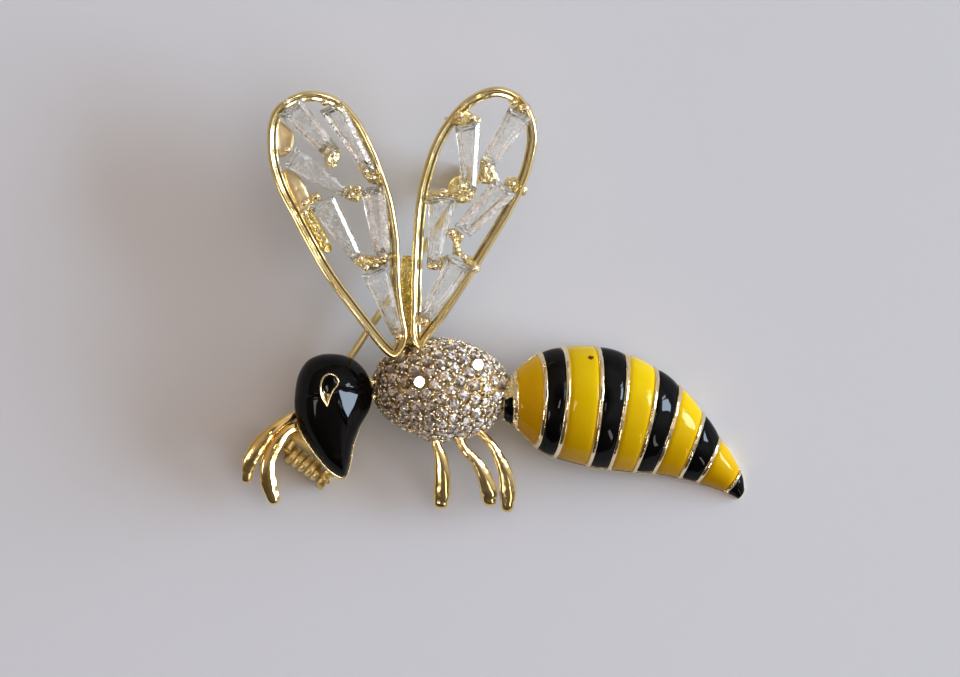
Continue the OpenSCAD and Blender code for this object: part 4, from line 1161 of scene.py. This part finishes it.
# ---------------------------------------------------------------- legs
def leg(tab, seed, grainy=0.0, wide=1.0, flat=14.0):
    tab = np.array(tab, float)
    n = 84
    rows = []
    last = len(tab) - 1
    for i in range(n + 1):
        # denser rings towards the round tip
        u = last * math.sin(math.pi / 2 * i / n) if i > 0 else 0.0
        r = row_at(tab, u)
        q = row_at(tab, min(u + 0.05, last)) - row_at(tab, max(u - 0.05, 0))
        d = q[:2] / np.linalg.norm(q[:2])
        nn = np.array([-d[1], d[0]])
        w, t = r[3] / 2 * 0.94, r[4] / 2
        if u > last - 1:
            tau = u - (last - 1)
            k = math.sqrt(max(0.0, 1 - tau ** 2.4))
            w = tab[last - 1][3] / 2 * k + 0.0
            t = tab[last - 1][4] / 2 * k
            w, t = max(w, 0.012), max(t, 0.012)
        elif u > last - 2:
            tau = u - (last - 2)
            w = (tab[last - 2][3] * (1 - tau) + tab[last - 1][3] * tau) / 2 * (1 + 0.06 * math.sin(math.pi * tau))
            t = (tab[last - 2][4] * (1 - tau) + tab[last - 1][4] * tau) / 2
        w *= 1 + (wide - 1) * min(1.0, 2.2 * i / n)
        ring = []
        # polished flat on the flank that faces the window: [tilt from up, how far it cuts in]
        cuts = [(30.0, flat), (-14.0, 13.0)]
        for k in range(40):
            a = 2 * math.pi * k / 40
            x, z = math.cos(a) * w, math.sin(a) * t
            for tilt, depth in cuts:
                sx, cz = math.sin(math.radians(tilt)), math.cos(math.radians(tilt))
                over = x * sx + z * cz - math.hypot(w * sx, t * cz) * math.cos(math.radians(depth))
                if over > 0:
                    x, z = x - over * sx, z - over * cz
            ring.append([r[0] + nn[0] * x, r[1] + nn[1] * x, r[2] + z])
        rows.append(ring)
    v, f = grid(rows, close_v=True, cap0=True, cap1=True)
    if grainy:
        amp = 0.034 * np.clip((grainy - np.arange(len(v)) / 40.0 / n) / 0.15, 0, 1)
        v = v + np.array([fbm(p, 0.26, 3, seed + 3) for p in v])[:, None] * amp[:, None] * np.array([0.8, 0.8, 1.0])
    return wobble(v, 1.1, 0.025, seed, 2), f


LEG_OBJECTS = {}
for i, (name, tab) in enumerate(LEGS.items()):
    b = Build()
    b.add(*leg(tab, i * 7.7, {"rear_1": 0.2, "rear_2": 0.42, "rear_3": 0.4}.get(name, 0.0),
               {"rear_1": 1.22, "rear_2": 1.14, "rear_3": 1.14, "front_1": 1.2}.get(name, 1.04),
               {"front_2": 25.0, "rear_1": 12.0}.get(name, 16.0)))
    LEG_OBJECTS[name] = make("leg_" + name, b, [STREAK_GOLD if name == "front_2" else LEG_GOLD], replaces=["casting"])

# ---------------------------------------------------------------- abdomen
AB = np.array(ABDOMEN, float)


def arch(u, a, d):
    r = row_at(AB, u)
    t, bb, c = r[0:2], r[2:4], r[4:6]
    m, vv, h = (t + bb) / 2, (t - bb) / 2, r[7] - r[6]
    ca, sa = math.cos(math.radians(a)), math.sin(math.radians(a))
    p = m + vv * (1 - d / np.linalg.norm(vv)) * ca + (c - m) * (h - d) / h * sa
    return np.array([p[0], p[1], r[6] + (h - d) * sa])


def span_l(i):
    i = min(max(i, 0), len(AB) - 2)
    return float(np.linalg.norm(AB[i + 1][4:6] - AB[i][4:6]))


def wire_dist(u):
    """distance in mm along the crest from the nearest wire, and that wire"""
    k = int(round(u))
    k = min(max(k, 1), 10)
    d = (u - k) * (span_l(k) if u > k else span_l(k - 1))
    return abs(d), k


def gold_depth(u, a):
    s, k = wire_dist(u)
    half = WIRE_W / 2 * (0.72 if k == 10 else 1.05 if k > 1 else 1.2)
    edge = min(a, 180 - a)
    if s < half:
        ridge = math.sqrt(max(0.0, 1 - (s / half) ** 2))
        wire = -0.075 * ridge + 0.03
    else:
        wire = 0.03 + min(1.0, (s - half) / 0.06) * 0.42
    rim = -0.02 if edge < 5.0 else (-0.02 + min(1.0, (edge - 5.0) / 1.2) * 0.47)
    if u < 0.45:
        wire = 0.25
    return min(wire, rim) if u < 10.99 else wire


us = [0.0, 0.2, 0.4, 0.5]
for k in range(1, 11):
    v_, w_ = 1 / span_l(k - 1), 1 / span_l(k)
    for s in (-0.6, -0.36, -0.3, -0.26, -0.235, -0.22, -0.2, -0.16, -0.11, -0.05):
        us.append(k + s * v_)
    for s in (0.0, 0.05, 0.11, 0.16, 0.2, 0.22, 0.235, 0.26, 0.3, 0.36, 0.6):
        us.append(k + s * w_)
    us.append(k + 0.5)
us = sorted(u for u in set(round(x, 5) for x in us) if u <= 10.7)
angs = np.unique(np.round(np.concatenate([[0, 2.5, 4.6, 5.0, 5.4, 6.2, 7.2], np.linspace(8.5, 171.5, 66), [172.8, 173.8, 174.6, 175, 175.4, 177.5, 180]]), 4))
outer, inner = [], []
for u in us:
    ro, ri = [], []
    for a in angs:
        p = arch(u, a, gold_depth(u, a))
        s, k = wire_dist(u)
        if s < 0.4 and k == 1:
            p = p + 0.11 * fbm(p, 0.26, 3, 3.3)
        elif s < 0.25:
            p = p + 0.026 * fbm(p, 0.6, 2, 7.0)
        else:
            p = p + 0.012 * fbm(p, 0.8, 2, 7.0)
        ro.append(p)
        ri.append(arch(u, a, 1.15))
    outer.append(ro)
    inner.append(ri)
b = Build()
b.add(*shell(outer, inner))
make("abdomen_gold", b, [PALE_GOLD], replaces=["casting"])


def pillow(i, nu=22, na=84, lift=0.0):
    """domed enamel field between wires i and i + 1"""
    L = span_l(i)
    s0 = (WIRE_W / 2 * 0.93) / L
    s0a = (WIRE_W / 2 * (1.12 if i == 1 else 0.93)) / L
    outer, inner = [], []
    uu = [s0a + (1 - s0a - s0) * (0.5 - 0.5 * math.cos(math.pi * k / nu)) for k in range(nu + 1)]
    aa = [6.2 + (180 - 12.4) * (0.5 - 0.5 * math.cos(math.pi * k / na)) * 0.35 + (180 - 12.4) * 0.65 * k / na for k in range(na + 1)]
    for t in uu:
        e = min((t - s0a) * L, (1 - s0 - t) * L)
        ro, ri = [], []
        for a in aa:
            g = min(e, (min(a, 180 - a) - 6.2) * 0.08)
            g = max(g, 0.0)
            d = 0.005 + 0.15 * math.exp(-g / 0.16) - lift
            # slow swell across the field
            d -= 0.05 * math.sin(math.pi * (t - s0a) / (1 - s0a - s0)) ** 0.8
            p = arch(i + t, a, d)
            p = p + 0.012 * fbm(p, 1.1, 2, 5.0 + i)
            ro.append(p)
            ri.append(arch(i + t, a, 0.42))
        outer.append(ro)
        inner.append(ri)
    return shell(outer, inner)


near_speck = [arch(u, a, 0.0) for u in np.linspace(3.1, 3.95, 60) for a in np.linspace(6, 70, 90)]
speck = min(near_speck, key=lambda p: math.hypot(p[0] - 9.85, p[1] + 5.66))
YELLOW_2 = yellow_enamel("yellow_enamel_speck", YELLOW_SHADED, YELLOW_LIT, speck_at=tuple(float(c) for c in (speck + SHIFT) * MM))

for k, i in enumerate((1, 3, 5, 7, 9)):
    b = Build()
    b.add(*pillow(i))
    make("amber_field_%d" % (k + 1), b, [YELLOW_1 if i == 1 else YELLOW_2 if i == 3 else YELLOW], replaces=["amber_band_%d" % (k + 1)])
for k, i in enumerate((2, 4, 6, 8)):
    b = Build()
    b.add(*pillow(i))
    make("black_field_%d" % (k + 1), b, [BLACK], replaces=["black_band_%d" % (k + 1)])

# neck between thorax and abdomen: black below, rough gold above
for name, a0, a1, mat, slot_name, nodes, lump in (("neck_band", 80, 178, BLACK, "black_enamel", ["neck_enamel"], 0.0),
                                                 ("neck_collar", 3, 84, CAST_GOLD, "gold", ["casting"], 0.1)):
    outer, inner = [], []
    for k in range(19):
        u = 0.12 + (0.93 - 0.12) * k / 18
        ro = []
        for a in np.linspace(a0, a1, 60):
            p = arch(u, a, 0.16 - 0.1 * math.sin(math.pi * k / 18) - (0.06 if lump else 0.0))
            ro.append(p + lump * fbm(p, 0.3, 3, 8.8))
        outer.append(ro)
        inner.append([arch(u, a, 0.8) for a in np.linspace(a0, a1, 60)])
    b = Build()
    b.add(*shell(outer, inner))
    make(name, b, [mat], replaces=nodes)

# black tip with its gold rim
outer = []
u0 = 10 + (WIRE_W / 2 * 0.55) / span_l(10)
for k in range(24):
    u = u0 + (10.985 - u0) * math.sin(math.pi / 2 * k / 23)
    e = (10.985 - u) / (10.985 - u0)
    d = 0.02 + 0.10 * math.exp(-(u - u0) * span_l(10) / 0.12) + 0.25 * max(0, 0.35 - e) ** 2
    outer.append([arch(u, a, d) for a in np.linspace(4, 176, 48)])
inner = [[np.array([p[0], p[1], 0.34]) for p in r] for r in outer]
b = Build()
b.add(*shell(outer, inner))
make("tip_field", b, [BLACK], replaces=["tip_enamel"])

# gold foot and rim under the tip
edge = [arch(9.3 + 1.7 * k / 30, 0, -0.02)[:2] for k in range(31)] + [arch(11, a, -0.04)[:2] for a in np.linspace(8, 172, 16)] \
    + [arch(9.3 + 1.7 * k / 30, 180, -0.02)[:2] for k in range(30, -1, -1)]
edge = even(ccw(np.array(edge)), 120)
rows = [at(inset(edge, 0.12), 0.0), at(inset(edge, 0.03), 0.05), at(edge, 0.16), at(edge, 0.34), at(inset(edge, 0.04), 0.42), at(inset(edge, 0.12), 0.44)]
v, f = grid(rows, close_v=True, cap0=True, cap1=True)
b = Build()
b.add(v, f)
make("tip_foot", b, [PALE_GOLD], replaces=["casting"])

# ---------------------------------------------------------------- hinge, pin and catch
S3 = np.array([STEM_DIR[0], STEM_DIR[1], 0.0])
N3 = np.array([-STEM_DIR[1], STEM_DIR[0], 0.0])
H3 = np.array([HINGE[0], HINGE[1], 0.0])


def stem(x, y, z):
    return H3 + S3 * x + N3 * y + np.array([0, 0, z])


def lug(y0, y1):
    """hinge lug: round eye with a root that runs up to the cup"""
    prof = []
    for k in range(33):
        a = math.radians(90 + 180 * k / 32 + 0)
        prof.append((HINGE_Z * math.cos(a), HINGE_Z + HINGE_Z * math.sin(a)))
    prof += [(0.6, 0.12), (1.1, 0.5), (1.5, 1.2), (1.9, 2.1), (2.0, 2.9), (2.0, 3.35), (0.4, 3.35)]
    prof = np.array(prof)
    prof = even(ccw(prof), 72)
    b0, b1 = prof, inset(prof, 0.08)
    rows = [[stem(x, y0, z) for x, z in b1], [stem(x, y0 + 0.08, z) for x, z in b0], [stem(x, y1 - 0.08, z) for x, z in b0], [stem(x, y1, z) for x, z in b1]]
    return grid(rows, close_v=True, cap0=True, cap1=True)


b = Build()
for y0, y1 in ((0.46, 1.26), (-5.1, -4.3)):
    b.add(*lug(y0, y1))
poly = [(1.15, -5.13), (2.72, -5.13), (2.72, 1.29), (1.15, 1.29)]
P4 = even(np.array([stem(x, y, 0)[:2] for x, y in poly]), 60)
rows = [at(inset(ccw(P4), 0.06), 2.7), at(ccw(P4), 2.78), at(ccw(P4), 3.24), at(inset(ccw(P4), 0.06), 3.31)]
b.add(*grid(rows, close_v=True, cap0=True, cap1=True))
make("hinge_lugs", b, [BACK_GOLD], replaces=["casting"])

# catch hook and its post under the right wing
z0 = HINGE_Z + COIL_R
b = Build()
prof = np.array([(0.47, 0.0), (1.22, 0.0), (1.22, z0 + 1.25), (-0.95, z0 + 1.25), (-0.95, z0 - 0.1), (-0.47, z0 - 0.1), (-0.47, z0 + 0.42), (-0.4, z0 + 0.5),
                 (0.4, z0 + 0.5), (0.47, z0 + 0.42)])
prof = even(prof, 90)
rows = []
for x, d in ((0.0, 0.07), (0.07, 0.0), (CATCH_L - 0.07, 0.0), (CATCH_L, 0.07)):
    rows.append([stem(CATCH_AT - CATCH_L / 2 + x, y, max(z, 0.0)) for y, z in inset(ccw(prof), d)])
b.add(*grid(rows, close_v=True, cap0=True, cap1=True))
make("catch_hook", b, [BACK_GOLD], replaces=["casting"])

b = Build()
v, f = plateau([[-4.1, 10.0], [-2.2, 10.0], [-2.3, 11.9], [-3.2, 12.5], [-4.15, 12.1], [-4.5, 11.0]], z0 + 0.9, WING_Z + 0.9, 0.25, 0.0, rough=0.13, seed=9.9)
b.add(v, f)
make("catch_post", b, [CAST_GOLD], replaces=["casting"])

# the pin: helical coil, straight stem, ground point
coil = []
turns = 5
pitch = 3.84 / turns
n = turns * 40
for k in range(n + 1):
    a = math.radians(90) + 2 * math.pi * k / 40
    coil.append(stem(COIL_R * math.cos(a) * -1, -3.84 * k / n, HINGE_Z + COIL_R * math.sin(a)))
path = [stem(STEM_L + 0.05 - 0.0 * k, 0, z0) for k in range(1)]
stem_pts, stem_r = [], []
for k in range(91):
    x = 0.05 + (STEM_L) * (1 - k / 90)
    stem_pts.append(stem(x, 0, z0))
    stem_r.append(float(np.interp(x, [0.05, 13.0, 28.6, 31.65, 33.2, 34.25], [0.352, 0.377, 0.377, 0.347, 0.2, 0.05])))
pts = stem_pts + coil[1:]
rad = stem_r + [min(0.39, 0.352 + 0.004 * k) for k in range(len(coil) - 1)]
b = Build()
b.add(*tube(pts, rad, 18))
make("pin_wire", b, [PIN_GOLD], body="pin", replaces=["pin_stem"])

# CAD rivet keeps its shape and gets the back's metal
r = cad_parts["hinge_rivet"]
for i in range(len(r.data.materials)):
    r.data.materials[i] = BACK_GOLD

# ---------------------------------------------------------------- floor, lights, camera
me = bpy.data.meshes.new("floor")
S = 1.6
me.from_pydata([(-S, -S, 0), (S, -S, 0), (S, S, 0), (-S, S, 0)], [], [(0, 1, 2, 3)])
floor = bpy.data.objects.new("floor", me)
bpy.context.scene.collection.objects.link(floor)
m = Mat("floor_paper")
m.set(Roughness=0.75)
m.b.inputs["Specular IOR Level"].default_value = 0.2
tone = m.noise(9.0, 3.0, 0.5)
m.link(m.ramp(tone.outputs["Fac"], [(0.3, (0.735, 0.735, 0.755)), (0.7, (0.75, 0.75, 0.77))]).outputs["Color"], m.b.inputs["Base Color"])
m.link(m.bump(m.noise(700.0, 3.0, 0.6).outputs["Fac"], 0.05, 0.0002), m.b.inputs["Normal"])
me.materials.append(m.m)

world = bpy.data.worlds.new("studio")
bpy.context.scene.world = world
world.use_nodes = True
wt = world.node_tree
bg = wt.nodes["Background"]
tc = wt.nodes.new("ShaderNodeTexCoord")
sp = wt.nodes.new("ShaderNodeSeparateXYZ")
wt.links.new(tc.outputs["Generated"], sp.inputs["Vector"])


def world_ramp(src, stops, lo=0.0, hi=1.0):
    mr = wt.nodes.new("ShaderNodeMapRange")
    mr.inputs["From Min"].default_value = lo
    mr.inputs["From Max"].default_value = hi
    wt.links.new(src, mr.inputs["Value"])
    r = wt.nodes.new("ShaderNodeValToRGB")
    while len(r.color_ramp.elements) < len(stops):
        r.color_ramp.elements.new(0.5)
    for e, (pos, col) in zip(r.color_ramp.elements, stops):
        e.position = pos
        e.color = (col, col, col, 1) if np.isscalar(col) else (*col, 1)
    wt.links.new(mr.outputs["Result"], r.inputs["Fac"])
    return r.outputs["Color"]


def world_mul(a, c):
    n = wt.nodes.new("ShaderNodeMix")
    n.data_type = "RGBA"
    n.blend_type = "MULTIPLY"
    n.inputs[0].default_value = 1.0
    wt.links.new(a, n.inputs[6])
    wt.links.new(c, n.inputs[7])
    return n.outputs[2]


sky = world_ramp(sp.outputs["Z"], [(0.0, 0.5), (0.3, 0.62), (0.45, 0.86), (0.82, 0.9), (0.93, 0.3), (1.0, 0.06)])
hue = world_ramp(sp.outputs["X"], [(0.0, (0.42, 0.33, 0.24)), (0.4, (0.6, 0.49, 0.40)), (0.62, (0.92, 0.82, 0.76)), (1.0, (1.0, 0.96, 0.97))], -1.0, 1.0)
near = world_ramp(sp.outputs["Y"], [(0.0, 0.14), (0.18, 0.2), (0.33, 1.0), (1.0, 1.0)], -1.0, 1.0)
wt.links.new(world_mul(world_mul(sky, hue), near), bg.inputs["Color"])
bg.inputs["Strength"].default_value = 1.0


def area(name, direction, dist, size, power, colour, target=(0, 0, 0.005)):
    d = Vector(direction).normalized()
    L = bpy.data.lights.new(name, "AREA")
    L.shape = "RECTANGLE"
    L.size, L.size_y = size
    L.energy = power
    L.color = colour
    o = bpy.data.objects.new(name, L)
    o.location = Vector(target) + d * dist
    o.rotation_euler = (-d).to_track_quat("-Z", "Y").to_euler()
    bpy.context.scene.collection.objects.link(o)
    return o


# the window's soft light, the sharper reflection of its pane, and a strip beside it
soft = area("window_soft", (0.97, 0.05, 0.215), 1.6, (1.33, 0.56), 48.0, (0.61, 0.78, 1.0))
soft.visible_glossy = False
top = area("ceiling", (0.15, 0.1, 1.0), 1.4, (1.2, 1.2), 2.6, (1.0, 0.78, 0.68))
top.visible_glossy = False
pane = area("window", (0.86, 0.10, 0.50), 1.2, (0.40, 0.40), 16.5, (0.66, 0.82, 1.0))
pane.visible_diffuse = False
strip = area("window_strip", (0.45, -0.80, 0.40), 1.2, (0.1, 0.4), 1.0, (1.0, 0.95, 0.86))
strip.visible_diffuse = False
pane_2 = area("window_edge", (0.775, 0.361, 0.518), 1.2, (0.14, 0.3), 2.6, (0.9, 0.95, 1.0))
pane_2.visible_diffuse = False
pane_3 = area("left_pane", (-0.766, -0.383, 0.516), 1.2, (0.2, 0.3), 1.4, (1.0, 0.93, 0.95))
pane_3.visible_diffuse = False
lamp = area("lamp", (-0.09, -0.16, 1.0), 1.3, (0.13, 0.32), 1.6, (1.0, 0.96, 0.90))
lamp.visible_diffuse = False

# the two reflections that run down the legs' flats
for name, legs, direction, size, power in (("front_leg_window", ("front_2",), (0.766, -0.4975, 0.407), (0.6, 0.34), 15.0),
                                           ("rear_leg_window", ("rear_1", "rear_2", "rear_3"), (-0.395, -0.711, 0.581), (0.26, 0.26), 2.0)):
    group = bpy.data.collections.new(name)
    for leg_name in legs:
        group.objects.link(LEG_OBJECTS[leg_name])
    light = area(name, direction, 1.2, size, power, (1.0, 0.97, 0.93))
    light.visible_diffuse = False
    light.light_linking.receiver_collection = group

cam = bpy.data.cameras.new("camera")
cam.sensor_width = 36
cam.lens = 375
cam.clip_start = 0.05
cam.clip_end = 10
co = bpy.data.objects.new("camera", cam)
co.location = (-0.001395, -0.003855, 1.0055)
co.rotation_euler = (0, 0, 0)
bpy.context.scene.collection.objects.link(co)
bpy.context.scene.camera = co
bpy.context.scene.view_settings.view_transform = "Standard"
bpy.context.scene.view_settings.exposure = 0.01
